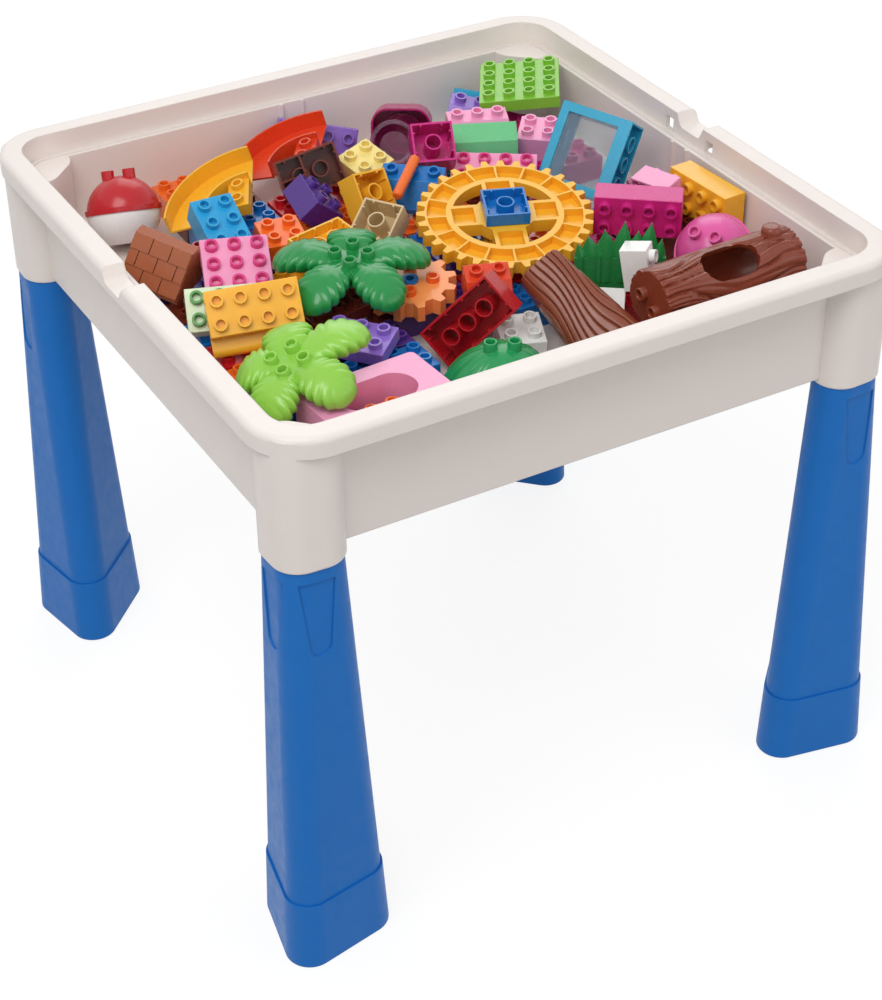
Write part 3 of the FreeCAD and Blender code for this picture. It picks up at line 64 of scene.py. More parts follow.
back = Vector((math.sin(camera_azimuth) * math.cos(camera_elevation),
               -math.cos(camera_azimuth) * math.cos(camera_elevation),
               math.sin(camera_elevation)))
level_right = Vector((math.cos(camera_azimuth), math.sin(camera_azimuth), 0))
level_up = back.cross(level_right)
right = level_right * math.cos(camera_roll) + level_up * math.sin(camera_roll)
up = level_up * math.cos(camera_roll) - level_right * math.sin(camera_roll)

camera = bpy.data.objects.new("camera", bpy.data.cameras.new("camera"))
bpy.context.scene.collection.objects.link(camera)
camera.data.sensor_fit = "VERTICAL"
camera.data.sensor_height = sensor_height
camera.data.lens = camera_lens
camera.matrix_world = Matrix((right, up, back)).transposed().to_4x4()
camera.location = camera_place
bpy.context.scene.camera = camera
print("camera at", tuple(round(c, 3) for c in camera.location))

# %% [markdown]
# The photograph is a cut-out on white, so the studio is a white floor under a white sky. A
# strong lamp could bleach the floor, but it would bleach the table as well. Floor and sky ask
# instead which kind of ray meets them. They look plain white to the camera, in reflections and
# through clear pieces, and the light they give to the table stays at a plain level.

# %% Node helpers
def add_node(tree, kind, **settings):
    """New shader node, with its settings and the values of its inputs by name."""
    node = tree.nodes.new("ShaderNode" + kind)
    for name, value in settings.items():
        if hasattr(node, name):
            setattr(node, name, value)
        else:
            node.inputs[name.replace("_", " ")].default_value = value
    return node


def seen_directly(tree):
    """1 for rays from the camera, in reflections and through clear pieces, and 0 for light."""
    path = add_node(tree, "LightPath")
    seen = path.outputs["Is Camera Ray"]
    for ray in ("Is Glossy Ray", "Is Transmission Ray"):
        either = add_node(tree, "Math", operation="MAXIMUM")
        tree.links.new(seen, either.inputs[0])
        tree.links.new(path.outputs[ray], either.inputs[1])
        seen = either.outputs[0]
    return seen


def choose(tree, light, seen, out):
    """Sends one shader to light rays and another to rays that are seen."""
    choice = add_node(tree, "MixShader")
    tree.links.new(seen_directly(tree), choice.inputs[0])
    tree.links.new(light.outputs[0], choice.inputs[1])
    tree.links.new(seen.outputs[0], choice.inputs[2])
    tree.links.new(choice.outputs[0], out.inputs[0])


print("three node helpers")

# %% White sky
sky_light = 0.52
white = (1, 1, 1, 1)

world = bpy.data.worlds.new("white_sky")
bpy.context.scene.world = world
world.use_nodes = True
sky = world.node_tree
sky.nodes.clear()
choose(sky, add_node(sky, "Background", Color=white, Strength=sky_light),
       add_node(sky, "Background", Color=white, Strength=1.0), add_node(sky, "OutputWorld"))
print("white sky with a light of", sky_light)

# %% White floor
floor_side = 12.0
floor_shine = 0.84
floor_grey = (0.2, 0.2, 0.2, 1)
floor_bounce = (0.55, 0.54, 0.53, 1)

bpy.ops.mesh.primitive_plane_add(size=floor_side, location=(0, 0, 0))
floor = bpy.context.object
floor.name = "floor"
floor_paint = bpy.data.materials.new("floor_white")
floor_paint.use_nodes = True
paint = floor_paint.node_tree
paint.nodes.clear()
glow = add_node(paint, "Emission", Color=white, Strength=floor_shine)
shade = add_node(paint, "BsdfDiffuse", Color=floor_grey)
shaded_white = add_node(paint, "AddShader")
paint.links.new(glow.outputs[0], shaded_white.inputs[0])
paint.links.new(shade.outputs[0], shaded_white.inputs[1])
choose(paint, add_node(paint, "BsdfDiffuse", Color=floor_bounce), shaded_white,
       add_node(paint, "OutputMaterial"))
floor.data.materials.append(floor_paint)
print("white floor", floor_side, "m wide")

# %% [markdown]
# Three lamps add to the light of the sky: a key lamp high on the left, a lamp behind the table
# that lights the far rim, and a weak one low at the front right. A sun would draw hard shadows.
# Square lamps of more than a metre keep them as soft as they are in the photograph.

# %% Lamps
lamp_target = Vector((0, 0, 0.4))
lamps = (
    # name, place and side in metres, power in watts
    ("key_lamp", (-1.1, -0.9, 2.4), 1.4, 29),
    ("back_lamp", (1.0, 1.6, 2.0), 1.6, 12),
    ("front_lamp", (1.4, -2.2, 1.2), 1.6, 7),
)
for name, place, side, watts in lamps:
    lamp = bpy.data.objects.new(name, bpy.data.lights.new(name, "AREA"))
    bpy.context.scene.collection.objects.link(lamp)
    lamp.data.size = side
    lamp.data.energy = watts
    lamp.location = place
    lamp.rotation_euler = (lamp_target - Vector(place)).to_track_quat("-Z", "Y").to_euler()
bpy.context.scene.view_settings.view_transform = "Standard"
print(len(lamps), "area lamps")

# %% [markdown]
# Nearly everything here is moulded plastic. A real moulding is one even colour, and it looks
# real because of what the mould leaves: edges that are never quite sharp, a skin with a very
# fine ripple, and a gloss that changes a little from place to place. The finish below has all
# three. A bevel modifier could round the edges, but it would change the CAD meshes. The Bevel
# node rounds them for the light only, so the meshes stay untouched.

# %% Colours
def colour(red, green, blue):
    """A screen's colour, from 0 to 255, as a shader's linear values by the sRGB curve."""
    def linear(value):
        share = value / 255
        return share / 12.92 if share <= 0.04045 else ((share + 0.055) / 1.055) ** 2.4
    return (linear(red), linear(green), linear(blue), 1)


def scaled(shade, factor):
    """A lighter or darker copy of a colour."""
    return tuple(min(1, channel * factor) for channel in shade[:3]) + (1,)


print("a screen grey of 128 is", round(colour(128, 128, 128)[0], 3), "in a shader")

# %% Finish helpers
noise_low, noise_high = 0.3, 0.7


def finish_tree(name):
    """Empty material with a Principled shader and object coordinates."""
    material = bpy.data.materials.new(name)
    material.use_nodes = True
    tree = material.node_tree
    tree.nodes.clear()
    shader = add_node(tree, "BsdfPrincipled")
    out = add_node(tree, "OutputMaterial")
    tree.links.new(shader.outputs[0], out.inputs[0])
    place = add_node(tree, "TexCoord").outputs["Object"]
    return material, tree, shader, place


def soft_noise(tree, place, size, detail=2.0):
    """Noise whose patches are about that size in metres."""
    node = add_node(tree, "TexNoise", Scale=1 / size, Detail=detail)
    tree.links.new(place, node.inputs["Vector"])
    return node.outputs["Fac"]


def between(tree, factor, low, high):
    """Maps noise around one half to values from low to high."""
    node = add_node(tree, "MapRange", From_Min=noise_low, From_Max=noise_high,
                    To_Min=low, To_Max=high)
    tree.links.new(factor, node.inputs["Value"])
    return node.outputs["Result"]


def mixed(tree, factor, first, second):
    """Colour between two others. Inputs 6 and 7 of a Mix node are its two colours."""
    node = add_node(tree, "Mix", data_type="RGBA")
    node.inputs[6].default_value = first
    node.inputs[7].default_value = second
    tree.links.new(factor, node.inputs[0])
    return node.outputs[2]


print("noise from", noise_low, "to", noise_high, "is used")

# %% Moulded plastic
cloud_size = 30 * MM
dull_size, dull_detail = 9 * MM, 4.0
dull_below, dull_above = 0.05, 0.07
ripple_size, ripple_height = 1.6 * MM, 0.4 * MM
edge_samples = 4
coat_roughness = 0.12


def moulded(name, shade, gloss=0.24, cloud=0.06, edge=0.45 * MM, ripple=0.03, coat=0.1,
            shine=0.4):
    """Moulded plastic: an even colour, soft edges, a faint ripple and uneven gloss."""
    material, tree, shader, place = finish_tree(name)
    patches = soft_noise(tree, place, cloud_size)
    tree.links.new(mixed(tree, patches, scaled(shade, 1 - cloud), scaled(shade, 1 + cloud)),
                   shader.inputs["Base Color"])
    dull = between(tree, soft_noise(tree, place, dull_size, dull_detail),
                   gloss - dull_below, gloss + dull_above)
    tree.links.new(dull, shader.inputs["Roughness"])
    rounded = add_node(tree, "Bevel", samples=edge_samples, Radius=edge)
    ripples = add_node(tree, "Bump", Strength=ripple, Distance=ripple_height)
    tree.links.new(soft_noise(tree, place, ripple_size), ripples.inputs["Height"])
    tree.links.new(rounded.outputs[0], ripples.inputs["Normal"])
    tree.links.new(ripples.outputs[0], shader.inputs["Normal"])
    shader.inputs["Specular IOR Level"].default_value = shine
    shader.inputs["Coat Weight"].default_value = coat
    shader.inputs["Coat Roughness"].default_value = coat_roughness
    return material


def dress(names, material):
    """Gives CAD nodes a finish in place of the one they came with."""
    for name in names:
        slots = nodes[name].data.materials
        slots.clear()
        slots.append(material)


print("a ripple is", round(ripple_size / MM, 1), "mm wide")

# %% [markdown]
# The tray is a warm white with a satin skin, and the legs are a plain mid blue. Both are large
# thick mouldings, so their edges are rounder than those of the blocks. One finish with other
# numbers does for both, which keeps all the plastic in the picture alike.

# %% Tray and legs
thick_edge = 1.2 * MM
tray_white = moulded("tray_white", colour(238, 229, 223), gloss=0.36, cloud=0.015,
                     edge=thick_edge, coat=0.05, shine=0.35)
leg_blue = moulded("leg_blue", colour(22, 112, 196), gloss=0.42, cloud=0.03,
                   edge=thick_edge, coat=0.0, shine=0.25)
dress(["tray"], tray_white)
leg_nodes = [name for name in nodes if name.endswith("_leg") or name.endswith("_foot_cap")]
dress(leg_nodes, leg_blue)
print("tray and", len(leg_nodes), "leg pieces dressed")

# %% [markdown]
# The blocks are glossy, and each has one colour. The colours could be set block by block, but
# one list shows them side by side, where they are easy to compare with the photograph. It has
# the plain name of each colour, its screen values and the nodes that wear it.

# %% Block colours
block_colours = {
    "red": ((190, 24, 34), ["red_bricks", "red_long_brick", "red_ball_dome"]),
    "blue": ((22, 118, 196), ["blue_bricks", "blue_slope", "orange_gear_pin", "gear_hub_plate"]),
    "brown": ((106, 38, 24), ["brown_bricks", "brown_cell_brick"]),
    "magenta": ((208, 40, 132), ["magenta_bricks"]),
    "dark_magenta": ((172, 14, 98), ["magenta_bowl"]),
    "purple": ((84, 50, 138), ["purple_bricks"]),
    "orange": ((242, 112, 36), ["orange_bricks", "orange_rod"]),
    "yellow": ((246, 184, 46), ["yellow_bricks", "yellow_ring_gear", "yellow_chute",
                                "yellow_shelf_brick"]),
    "white": ((242, 241, 238), ["white_bricks", "white_ball_bowl"]),
    "pink": ((244, 160, 200), ["pink_plates", "pink_bricks", "pink_slope", "pink_oval_block"]),
    "rose": ((226, 92, 164), ["pink_ball_dome", "pink_ball_bowl"]),
    "cyan": ((44, 168, 206), ["window_frame", "cyan_plate"]),
    "lavender": ((146, 112, 204), ["lavender_plates", "lavender_slope"]),
    "orange_red": ((226, 70, 34), ["orange_red_chute", "orange_red_slope"]),
    "cream": ((248, 228, 142), ["cream_bricks"]),
    "sky_blue": ((40, 164, 218), ["sky_blue_brick"]),
    "beige": ((216, 190, 146), ["beige_brick"]),
    "pale_green": ((222, 238, 202), ["pale_green_plate"]),
    "lime": ((132, 196, 60), ["lime_plate"]),
    "mint": ((112, 204, 142), ["mint_slope"]),
    "roof_brown": ((164, 90, 56), ["roof_tile_brick"]),
    "apricot": ((247, 152, 84), ["orange_gear"]),
}
for name, (shade, worn_by) in block_colours.items():
    dress(worn_by, moulded("plastic_" + name, colour(*shade)))
print(len(block_colours), "block colours")

# %% [markdown]
# On a few plates the studs get a second, darker colour. On the pale green plate and the orange
# gear it is a second plastic. On the pink plates the darker magenta is painted shade, which
# stands in for the shade in the holes of the studs. Their faces could be picked by hand, but the
# choice would be lost when the CAD changes. The faces of the studs are those that stand over the
# plate's top, so the plate's own upward direction finds them each time.

# %% Studs of a second colour
stud_height = 4.4 * MM
stud_margin = 0.1 * MM


def turned(turn, lean, tip):
    """Turn about Z, then tip about Y, then lean about X, in degrees."""
    return (Matrix.Rotation(math.radians(turn), 3, "Z")
            @ Matrix.Rotation(math.radians(tip), 3, "Y")
            @ Matrix.Rotation(math.radians(lean), 3, "X"))


def paint_studs(node, turn, lean, material, side=None):
    """Second finish on the studs of a CAD node, or of its solids on one side of the middle."""
    upward = turned(turn, lean, 0) @ Vector((0, 0, 1))
    mesh = nodes[node].data
    mesh.materials.append(material)
    index = len(mesh.materials) - 1
    faces = [face for face in mesh.polygons if side is None or face.center.x * side > 0]
    top = max(mesh.vertices[v].co.dot(upward) for face in faces for v in face.vertices)
    plate_top = top - stud_height + stud_margin
    painted = [face for face in faces if face.center.dot(upward) > plate_top]
    for face in painted:
        face.material_index = index
    print(node, "stud faces:", len(painted))


print("studs are", round(stud_height / MM, 1), "mm high")

# %% Two-colour plates, and painted shade on the pink studs
left_side, right_side = -1, 1
# The darker magenta of the pink studs is painted shade, which stands in for the shade in their
# holes.
pink_stud_painted_shade = moulded("plastic_pink_stud_painted_shade", colour(222, 66, 138))
stud_green = moulded("plastic_stud_green", colour(78, 156, 64))
stud_orange = moulded("plastic_stud_orange", colour(238, 106, 40))
paint_studs("pink_plates", turn=-20, lean=24, material=pink_stud_painted_shade, side=left_side)
paint_studs("pink_plates", turn=-34, lean=22, material=pink_stud_painted_shade, side=right_side)
paint_studs("pale_green_plate", turn=-20, lean=40, material=stud_green)
paint_studs("orange_gear", turn=-30, lean=6, material=stud_orange)

# %% [markdown]
# The window's pane and the small pot are clear plastic. A see-through alpha would be quicker to
# render, but it bends no light and looks like thin air. The shader lets light through as glass
# does, with a faint tint and a gloss that varies a little.

# %% Clear plastic
tint_size, tint_depth = 12 * MM, 0.9
smear_size, smear = 5 * MM, 0.06
see_through = 0.95
plastic_ior = 1.46


def clear_plastic(name, shade, gloss):
    """Clear moulding with a faintly uneven tint and gloss."""
    material, tree, shader, place = finish_tree(name)
    patches = soft_noise(tree, place, tint_size)
    tree.links.new(mixed(tree, patches, shade, scaled(shade, tint_depth)),
                   shader.inputs["Base Color"])
    tree.links.new(between(tree, soft_noise(tree, place, smear_size), gloss, gloss + smear),
                   shader.inputs["Roughness"])
    shader.inputs["Transmission Weight"].default_value = see_through
    shader.inputs["IOR"].default_value = plastic_ior
    return material


dress(["window_pane"], clear_plastic("clear_pane", colour(226, 242, 250), gloss=0.05))
dress(["clear_pot"], clear_plastic("clear_purple", colour(196, 90, 168), gloss=0.08))
print("pane and pot dressed")

# %% [markdown]
# A few blocks are free forms: two palm tops, a dome of leaves, a trunk, a hollow log and a tuft
# of grass. Their CAD solids carry the main shape for the physics. Each gets a finer mesh here,
# made of loops of points that are skinned into one closed surface. A formula can then place
# every tooth and groove, which would be slow to model by hand and heavy to sculpt.

# %% Points and faces of a form
sharp_edge = math.radians(50)


class Form:
    """Points and faces of one piece while it is built, in millimetres."""

    def __init__(self):
        self.points = []
        self.faces = []

    def add(self, surface, turn=Matrix.Identity(3), shift=(0, 0, 0)):
        start = len(self.points)
        points, faces = surface
        self.points += [turn @ Vector(point) + Vector(shift) for point in points]
        self.faces += [tuple(index + start for index in face) for face in faces]

    def mesh(self, name, turn=Matrix.Identity(3), seat=(0, 0, 0), scale=1.0):
        """Mesh with outward faces, smooth but for its sharp edges."""
        mesh = bpy.data.meshes.new(name)
        placed = [turn @ point * scale + Vector(seat) for point in self.points]
        mesh.from_pydata(placed, [], self.faces)
        shape = bmesh.new()
        shape.from_mesh(mesh)
        bmesh.ops.recalc_face_normals(shape, faces=shape.faces)
        shape.to_mesh(mesh)
        shape.free()
        mesh.shade_smooth()
        mesh.set_sharp_from_angle(angle=sharp_edge)
        return mesh


print("edges over", round(math.degrees(sharp_edge)), "degrees stay sharp")

# %% Skins and studs
def skin(loops):
    """Closed surface through loops of as many points each, with a cap on both ends."""
    count = len(loops[0])
    faces = []
    for row in range(len(loops) - 1):
        for column in range(count):
            across = (column + 1) % count
            low, high = row * count, (row + 1) * count
            faces.append((low + column, low + across, high + across, high + column))
    faces.append(tuple(range(count)))
    faces.append(tuple((len(loops) - 1) * count + column for column in range(count)))
    return [point for loop in loops for point in loop], faces


def circle(radius, level, sides):
    """Level ring of points."""
    angles = [2 * math.pi * k / sides for k in range(sides)]
    return [(radius * math.cos(a), radius * math.sin(a), level) for a in angles]


def stud_tube(height, sink=2.0):
    """Hollow stud that stands on level zero, with softened edges."""
    outer, inner, soft, hole_floor, sides = 4.7, 3.1, 0.35, 0.2, 32
    outline = ((outer, -sink), (outer, height - soft), (outer - soft, height),
               (inner + soft, height), (inner, height - soft), (inner, hole_floor))
    return skin([circle(radius, level, sides) for radius, level in outline])


stud_middle = 8
block_stud = 4.4
print("a stud has", len(stud_tube(block_stud)[1]), "faces")

# %% Placing a form
def place_form(form, name, seat, angles, body, node, material):
    """Puts a form where its CAD block lies, hides that block and ties the form to its body."""
    piece = bpy.data.objects.new(name, form.mesh(name, turned(*angles), seat, MM))
    bpy.context.scene.collection.objects.link(piece)
    piece.data.materials.append(material)
    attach(piece, body)
    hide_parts(node)
    print(name, "points:", len(form.points), "faces:", len(form.faces))


print("forms are placed at a scale of", MM)

# %% [markdown]
# A palm top is five plump leaves round a pad with four studs. Each leaf is a cushion with a
# narrow stalk and a broad blunt end that drops a little, and a thin line runs out along its
# top. Its edge is a row of lobes with a notch between two lobes. Ten leaves could be sculpted
# one by one, but a formula gives them the same neat mould. The lobes sweep forward, so a
# notch's place along the leaf depends on how far it is from the middle line, and the creases
# fade toward that line.

# %% Outline of a palm leaf
def swept_lobe(phase):
    """0 at a notch and 1 on the back of a lobe that leans toward the leaf's tip."""
    lean, plump = 1.4, 0.7
    return math.sin(math.pi * (phase % 1) ** lean) ** plump


def leaf_width(along):
    """Share of the full width: a narrow stalk, then a broad end that closes bluntly."""
    widest, narrowest = 0.58, 0.03
    stalk_share, swell_share, swell_late = 0.44, 0.56, 1.3
    tip_late, tip_round = 2.4, 0.48
    stalk = stalk_share
    stalk += swell_share * math.sin(math.pi / 2 * min(1, along / widest)) ** swell_late
    past = max(0, (along - widest) / (1 - widest))
    blunt = max(0, 1 - past ** tip_late) ** tip_round
    return max(narrowest, stalk * blunt)


leaf_length, leaf_half, leaf_start = 51, 17.5, 6
print("the stalk has", leaf_width(0), "of the leaf's width")

# %% One palm leaf
def palm_leaf(length, half_width, start):
    """Leaf along X, made of rows of points across it that lie closer near the tip."""
    rows, top_count, low_count = 110, 44, 12
    top_height, under, arch, drop = 8.6, 6.5, 3.0, 8.0
    lobes, sweep, notch, crease_depth = 6.5, 0.8, 0.17, 2.2
    fade_rate, fade_start = 4, 0.7
    line_depth, line_width, line_fade = 0.9, 0.05, 1.6
    top_swell, top_round, under_swell, under_round = 0.6, 0.75, 0.7, 0.6
    angles = [math.pi * (1 - k / (top_count - 1)) for k in range(top_count)]
    angles += [-math.pi * k / low_count for k in range(1, low_count)]
    loops = []
    for row in range(rows + 1):
        along = math.sin(math.pi / 2 * row / rows)
        swell = leaf_width(along)
        lift = arch * math.sin(math.pi * along) - drop * along ** 2
        fade = min(1, max(0, fade_rate * along - fade_start))
        loop = []
        for angle in angles:
            across = math.cos(angle)
            lobe = swept_lobe(lobes * along - sweep * abs(across))
            crease = (1 - lobe) * fade * abs(across) ** 2
            y = half_width * swell * across * (1 - notch * crease)
            rise = abs(math.sin(angle))
            if angle < 0:
                z = -under * swell ** under_swell * rise ** under_round
            else:
                line = line_depth * math.exp(-(across / line_width) ** 2)
                line *= max(0, 1 - line_fade * along)
                z = top_height * swell ** top_swell * rise ** top_round
                z = z - crease_depth * crease * rise - line
            loop.append((start + length * along, y, z + lift))
        loops.append(loop)
    return skin(loops)


print("a palm leaf has", len(palm_leaf(leaf_length, leaf_half, leaf_start)[0]), "points")

# %% Pad and palm top
def cushion_pad(half_side, low, high, soft):
    """Square pad with round corners and a soft upper edge."""
    sides, square, shoulder = 48, 0.4, 0.3 * soft

    def outline(half, level):
        loop = []
        for k in range(sides):
            angle = 2 * math.pi * k / sides
            c, s = math.cos(angle), math.sin(angle)
            loop.append((half * math.copysign(abs(c) ** square, c),
                         half * math.copysign(abs(s) ** square, s), level))
        return loop

    steps = [(0, low), (0, high - soft), (shoulder, high - shoulder), (soft, high)]
    return skin([outline(half_side - inset, level) for inset, level in steps])


pad_half, pad_low, pad_high, pad_soft = 15.9, -6, 6, 3
palm_stud = 6.2


def palm_top(leaves, pad_turn):
    """Pad with four studs, and leaves given by their angle and their stretch."""
    form = Form()
    square = turned(pad_turn, 0, 0)
    form.add(cushion_pad(pad_half, pad_low, pad_high, pad_soft), square)
    for x in (-stud_middle, stud_middle):
        for y in (-stud_middle, stud_middle):
            form.add(stud_tube(palm_stud), square, square @ Vector((x, y, pad_high)))
    for angle, stretch in leaves:
        form.add(palm_leaf(leaf_length * stretch, leaf_half, leaf_start * stretch),
                 turned(angle, 0, 0))
    return form


print("the pad is", 2 * pad_half, "mm wide")

# %% Both palm tops
leaf_green = moulded("plastic_leaf_green", colour(30, 142, 70), gloss=0.2, cloud=0.08)
leaf_lime = moulded("plastic_leaf_lime", colour(144, 204, 74), gloss=0.22, cloud=0.1)
green_leaves = ((20, 1.0), (92, 0.8), (164, 1.0), (236, 0.95), (308, 0.9))
lime_leaves = ((10, 1.0), (75, 0.8), (150, 0.7), (225, 0.75), (300, 0.85))
place_form(palm_top(green_leaves, pad_turn=42), "green_palm_leaves",
           seat=(-0.08686, -0.0463, 0.42335), angles=(-30, 6, 0), body="green_palm",
           node="green_palm_top", material=leaf_green)
place_form(palm_top(lime_leaves, pad_turn=10), "lime_palm_leaves",
           seat=(-0.17943, -0.13831, 0.41736), angles=(-10, 8, -18), body="lime_palm",
           node="lime_palm_top", material=leaf_lime)

# %% [markdown]
# The dome of leaves is a thin shell like an umbrella. Its rim is scalloped, a crease runs up
# between two scallops, and fine raised lines spread from the two studs on top. A solidify
# modifier on half a ball could give the shell, but not the creases. So the shell is made of
# rings: they go out over the top, round the rim and back under it.

# %% Dome of leaves
def lobed(phase):
    """0 at a crease and 1 on the round back of a scallop."""
    plump = 0.6
    return abs(math.sin(math.pi * phase)) ** plump


def leaf_dome(radius, low, top):
    """Scalloped shell round the Z axis."""
    shell, scallops, sides, rows, innermost = 2.4, 14, 280, 30, 0.02
    fall, scallop_cut, crease_depth, crease_late = 2.1, 0.1, 1.8, 1.5
    line_height, line_width, line_rate, line_start = 0.8, 1.6, 3, 0.9
    loops = []
    for row in range(2 * rows + 1):
        inside = row > rows
        share = max(innermost, (row if not inside else 2 * rows - row) / rows)
        loop = []
        for k in range(sides):
            angle = 2 * math.pi * k / sides
            crease = 1 - lobed(scallops * k / sides)
            reach = radius * share * (1 - scallop_cut * crease * share ** 2)
            level = top - (top - low) * share ** fall
            level -= crease_depth * crease * share ** crease_late
            from_line = (scallops * k / sides) % 1 - 0.5
            line = math.exp(-(from_line * reach / line_width) ** 2)
            line *= min(1, max(0, line_rate * share - line_start))
            level += line_height * line * max(0, 1 - share ** 3)
            if inside:
                level -= shell
                reach -= shell * share
            loop.append((reach * math.cos(angle), reach * math.sin(angle), max(level, low)))
        loops.append(loop)
    return skin(loops)


dome = Form()
dome.add(leaf_dome(radius=41.8, low=-11.0, top=19.0))
dome_stud, dome_stud_level = 6.0, 18.2
for x in (-stud_middle, stud_middle):
    dome.add(stud_tube(dome_stud, sink=4), shift=(x, 0, dome_stud_level))
dome_green = moulded("plastic_dome_green", colour(28, 150, 84), gloss=0.2)
place_form(dome, "dome_leaf_shell", seat=(-0.043, -0.17463, 0.39155), angles=(-25, 2, 0),
           body="table", node="green_dome_leaf", material=dome_green)

# %% [markdown]
# The trunk is a thick slab of a tree, wider at its foot, with broad grooves that wander along
# it like grain. A bump in the material could draw the grain, but it would be flat from the
# side. So the slab is a row of arches along its length. A groove lies where a wavy phase
# across the arch passes a whole number, and noise varies its depth.

# %% Tree trunk
def grooved(phase, sharp):
    """1 in the middle of a groove and near 0 between grooves."""
    return (0.5 + 0.5 * math.cos(2 * math.pi * phase)) ** sharp


def tree_trunk():
    """Slab along X with an arched top and a flat underside."""
    half_length, head, foot, low, tall = 40.0, 17.0, 25.0, -12.0, 24.0
    rows, arch_count, arch_square, arch_round = 110, 170, 3.6, 0.23
    grooves, groove_depth, groove_sharp, groove_tilt = 3.9, 2.4, 14, 0.6
    bend, bend_along, bend_across = 0.6, 1.7, 1.4
    wander, wander_along, wander_across = 0.3, 4, 2
    steady, uneven, patch_along, patch_across, patch_level = 0.85, 0.35, 0.8, 3.1, 1.7
    edge_fade = 3
    loops = []
    for row in range(rows + 1):
        x = half_length * (2 * row / rows - 1)
        share = x / half_length
        half = head + (foot - head) * (share + 1) / 2
        loop = []
        for k in range(arch_count + 1):
            across = math.sin(math.pi * (k / arch_count - 0.5))
            at_edge = k in (0, arch_count)
            rise = 0 if at_edge else max(0, 1 - abs(across) ** arch_square) ** arch_round
            phase = grooves * across
            phase += bend * math.sin(bend_along * share + bend_across * across)
            phase += wander * math.sin(wander_along * share + wander_across * across)
            patch = Vector((patch_along * share, patch_across * across, patch_level))
            strength = steady + uneven * noise.noise(patch)
            cut = groove_depth * grooved(phase, groove_sharp) * max(0, min(1, strength))
            cut *= min(1, edge_fade * rise)
            y = across * (half - groove_tilt * cut * abs(across))
            loop.append((x, y, low + rise * tall - cut * rise))
        loops.append(loop)
    return skin(loops)


trunk = Form()
trunk.add(tree_trunk())
trunk_brown = moulded("plastic_trunk", colour(134, 68, 45), gloss=0.3, cloud=0.1, ripple=0.06)
place_form(trunk, "tree_trunk_bark", seat=(0.033, -0.1474, 0.40403), angles=(-77, 35, 25),
           body="table", node="tree_trunk", material=trunk_brown)

# %% [markdown]
# The log is a tube with fine flowing bark, closed at one end, with an oval window on top. The
# hole of the window could be left open in the skin, but its edge would then step from point to
# point. So the bark is drawn first on a full round bar, and the bore and the window are cut out
# of it with exact booleans, which leaves clean edges through the bark.

# %% Bark of the log
log_half = 59.0


def bark_bar():
    """Round bar along X with two sizes of grooves and a flat strip to lie on."""
    radius, flat_level, rows, sides = 23.5, -20.5, 150, 200
    grooves, groove_depth, groove_sharp = 13, 1.9, 7
    fine_grooves, fine_depth, fine_sharp = 34, 0.7, 4
    drift_along, drift_round, coarse_drift, fine_drift = 0.022, 1.2, 1.1, 2.6
    bend, bend_along = 0.35, 0.05
    soft_end, end_slope = 1.2, 0.5
    loops = []
    for row in range(rows + 1):
        x = log_half * (2 * row / rows - 1)
        loop = []
        for k in range(sides):
            angle = 2 * math.pi * k / sides
            c, s = math.cos(angle), math.sin(angle)
            drift = noise.noise(Vector((drift_along * x, drift_round * c, drift_round * s)))
            phase = grooves * k / sides + bend * math.sin(2 * angle + bend_along * x)
            phase += coarse_drift * drift
            fine = fine_grooves * k / sides + fine_drift * drift
            cut = (groove_depth * grooved(phase, groove_sharp)
                   + fine_depth * grooved(fine, fine_sharp))
            end = max(0, abs(x) - log_half + soft_end)
            reach = radius - cut - end_slope * end
            loop.append((x, reach * c, max(reach * s, flat_level)))
        loops.append(loop)
    return skin(loops)


bar = Form()
bar.add(bark_bar())
print("bark has", len(bar.points), "points")

# %% Bore and window
def stadium(length, width, low, high):
    """Upright prism with straight sides and round ends."""
    half = (length - width) / 2
    steps = 24
    outline = []
    for side in (1, -1):
        for k in range(steps + 1):
            angle = math.pi * (k / steps - 0.5) + (0 if side > 0 else math.pi)
            outline.append((side * half + width / 2 * math.cos(angle),
                            width / 2 * math.sin(angle)))
    return skin([[(x, y, level) for x, y in outline] for level in (low, high)])


def carved(form, tools):
    """Form with other forms cut out of it."""
    def raw(source):
        obj = bpy.data.objects.new("carving", source.mesh("carving"))
        bpy.context.scene.collection.objects.link(obj)
        return obj

    base = raw(form)
    cutters = [raw(tool) for tool in tools]
    for cutter in cutters:
        cut = base.modifiers.new("cut", "BOOLEAN")
        cut.operation, cut.solver, cut.object = "DIFFERENCE", "EXACT", cutter
    evaluated = base.evaluated_get(bpy.context.evaluated_depsgraph_get())
    done = bpy.data.meshes.new_from_object(evaluated)
    result = Form()
    result.add(([v.co.copy() for v in done.vertices], [tuple(f.vertices) for f in done.polygons]))
    for obj in [base] + cutters:
        bpy.data.objects.remove(obj)
    return result


bore_radius, bore_sides, bore_end, bore_mouth = 19, 96, -54.5, 62
bore, window = Form(), Form()
bore.add(skin([circle(bore_radius, level, bore_sides) for level in (bore_end, bore_mouth)]),
         Matrix.Rotation(math.radians(90), 3, "Y"))
window.add(stadium(length=46, width=25, low=0, high=32))
log = carved(bar, [bore, window])
print("carved log has", len(log.points), "points")

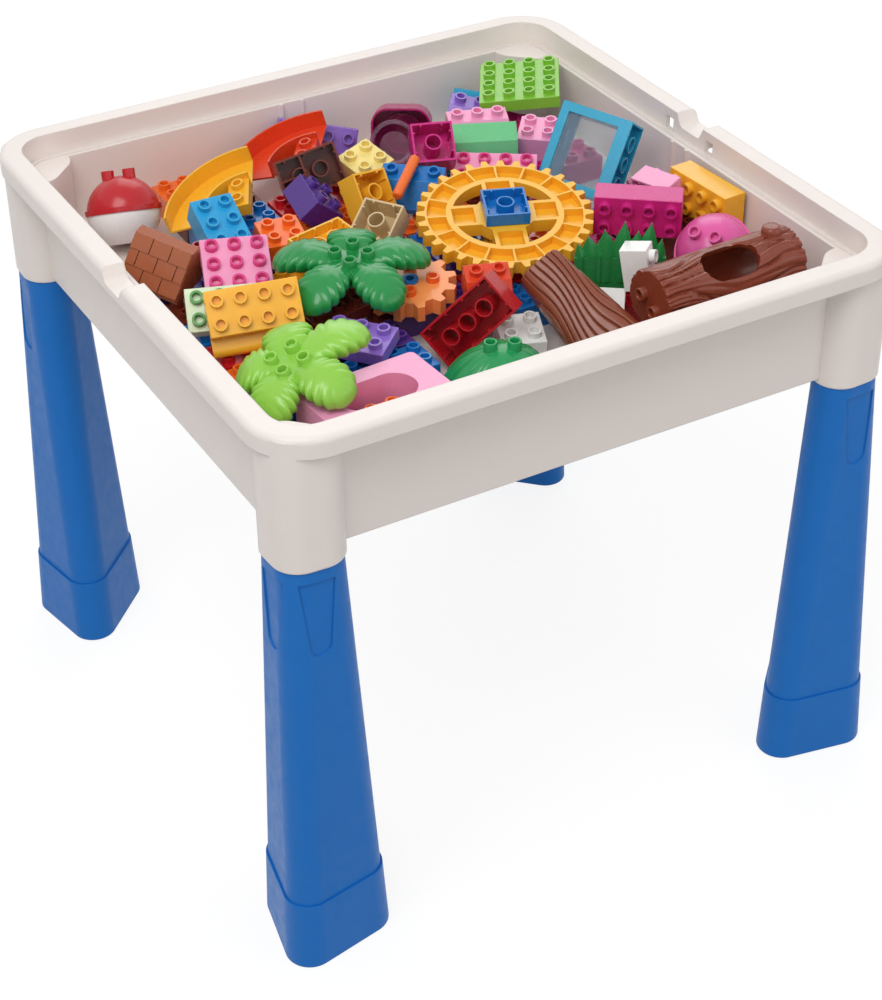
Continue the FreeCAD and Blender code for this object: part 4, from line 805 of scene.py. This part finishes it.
# %% Hollow log
knot_outline = ((7.6, 17), (7.2, 25), (6.6, 27.4), (5.2, 28.4), (2.5, 28.1))
knot_sides, knot_lean, knot_place = 40, -30, 44
log.add(skin([circle(radius, level, knot_sides) for radius, level in knot_outline]),
        Matrix.Rotation(math.radians(knot_lean), 3, "X"), (knot_place, 0, 0))
for y in (-stud_middle, stud_middle):
    log.add(stud_tube(block_stud, sink=1), Matrix.Rotation(math.radians(-90), 3, "Y"),
            (-log_half, y, 0))
log_brown = moulded("plastic_log", colour(132, 57, 35), gloss=0.24, cloud=0.12, ripple=0.06)
place_form(log, "hollow_log_bark", seat=(0.1297, -0.17706, 0.41279), angles=(2, 28, 0),
           body="log", node="hollow_log", material=log_brown)

# %% [markdown]
# The grass is a low wall of broad pointed blades. Flat triangles would do from the front, but
# they look like paper from above. Each blade is a row of flat diamonds that get narrower upward
# and lean a little, with a ridge along the middle that catches the light.

# %% Grass blade
def grass_blade(middle, tall, lean, width, thick):
    """Upright blade on a root that reaches down into the wall."""
    rows, low, narrowest, shoulder = 24, -20.0, 0.03, 0.75
    taper, thinning, curl = 1.4, 0.7, 1.5
    loops = []
    for row in range(rows + 1):
        level = low + (tall - low) * (row / rows)
        above = max(0, level / tall)
        half = width / 2 * max(narrowest, 1 - above ** taper)
        deep = thick / 2 * (1 - thinning * above)
        x = middle + lean * above ** curl
        diamond = ((-half, 0), (-half / 2, shoulder * deep), (0, deep),
                   (half / 2, shoulder * deep), (half, 0), (half / 2, -shoulder * deep),
                   (0, -deep), (-half / 2, -shoulder * deep))
        loops.append([(x + aside, y, level) for aside, y in diamond])
    return skin(loops)


blade_thick = 9.0
blades = (
    # middle, height, lean and width
    (-19.5, 14.3, -3.4, 17), (-9.4, 19.5, -1.7, 17), (1.2, 26, 1.7, 17),
    (10.6, 18.2, 1.7, 17), (18.7, 24.7, 2.6, 17), (-27, 9, -3, 9.5),
    (-14, 11, -1, 9), (27, 12, 2, 9.5), (6, 16, 0, 9),
)
print(len(blades), "blades, the tallest", max(blade[1] for blade in blades), "mm")

# %% Grass tuft
wall_half, wall_thick, wall_low, wall_high = 31.9, 3.6, -26, -1
wall = ((-wall_half, -wall_thick), (wall_half, -wall_thick),
        (wall_half, wall_thick), (-wall_half, wall_thick))
grass = Form()
grass.add(skin([[(x, y, level) for x, y in wall] for level in (wall_low, wall_high)]))
for middle, tall, lean, width in blades:
    grass.add(grass_blade(middle, tall, lean, width, blade_thick))
grass_green = moulded("plastic_grass", colour(34, 132, 66), gloss=0.28)
place_form(grass, "grass_blades", seat=(0.088, -0.1166, 0.41495), angles=(-30, 0, 0),
           body="table", node="grass_tuft", material=grass_green)
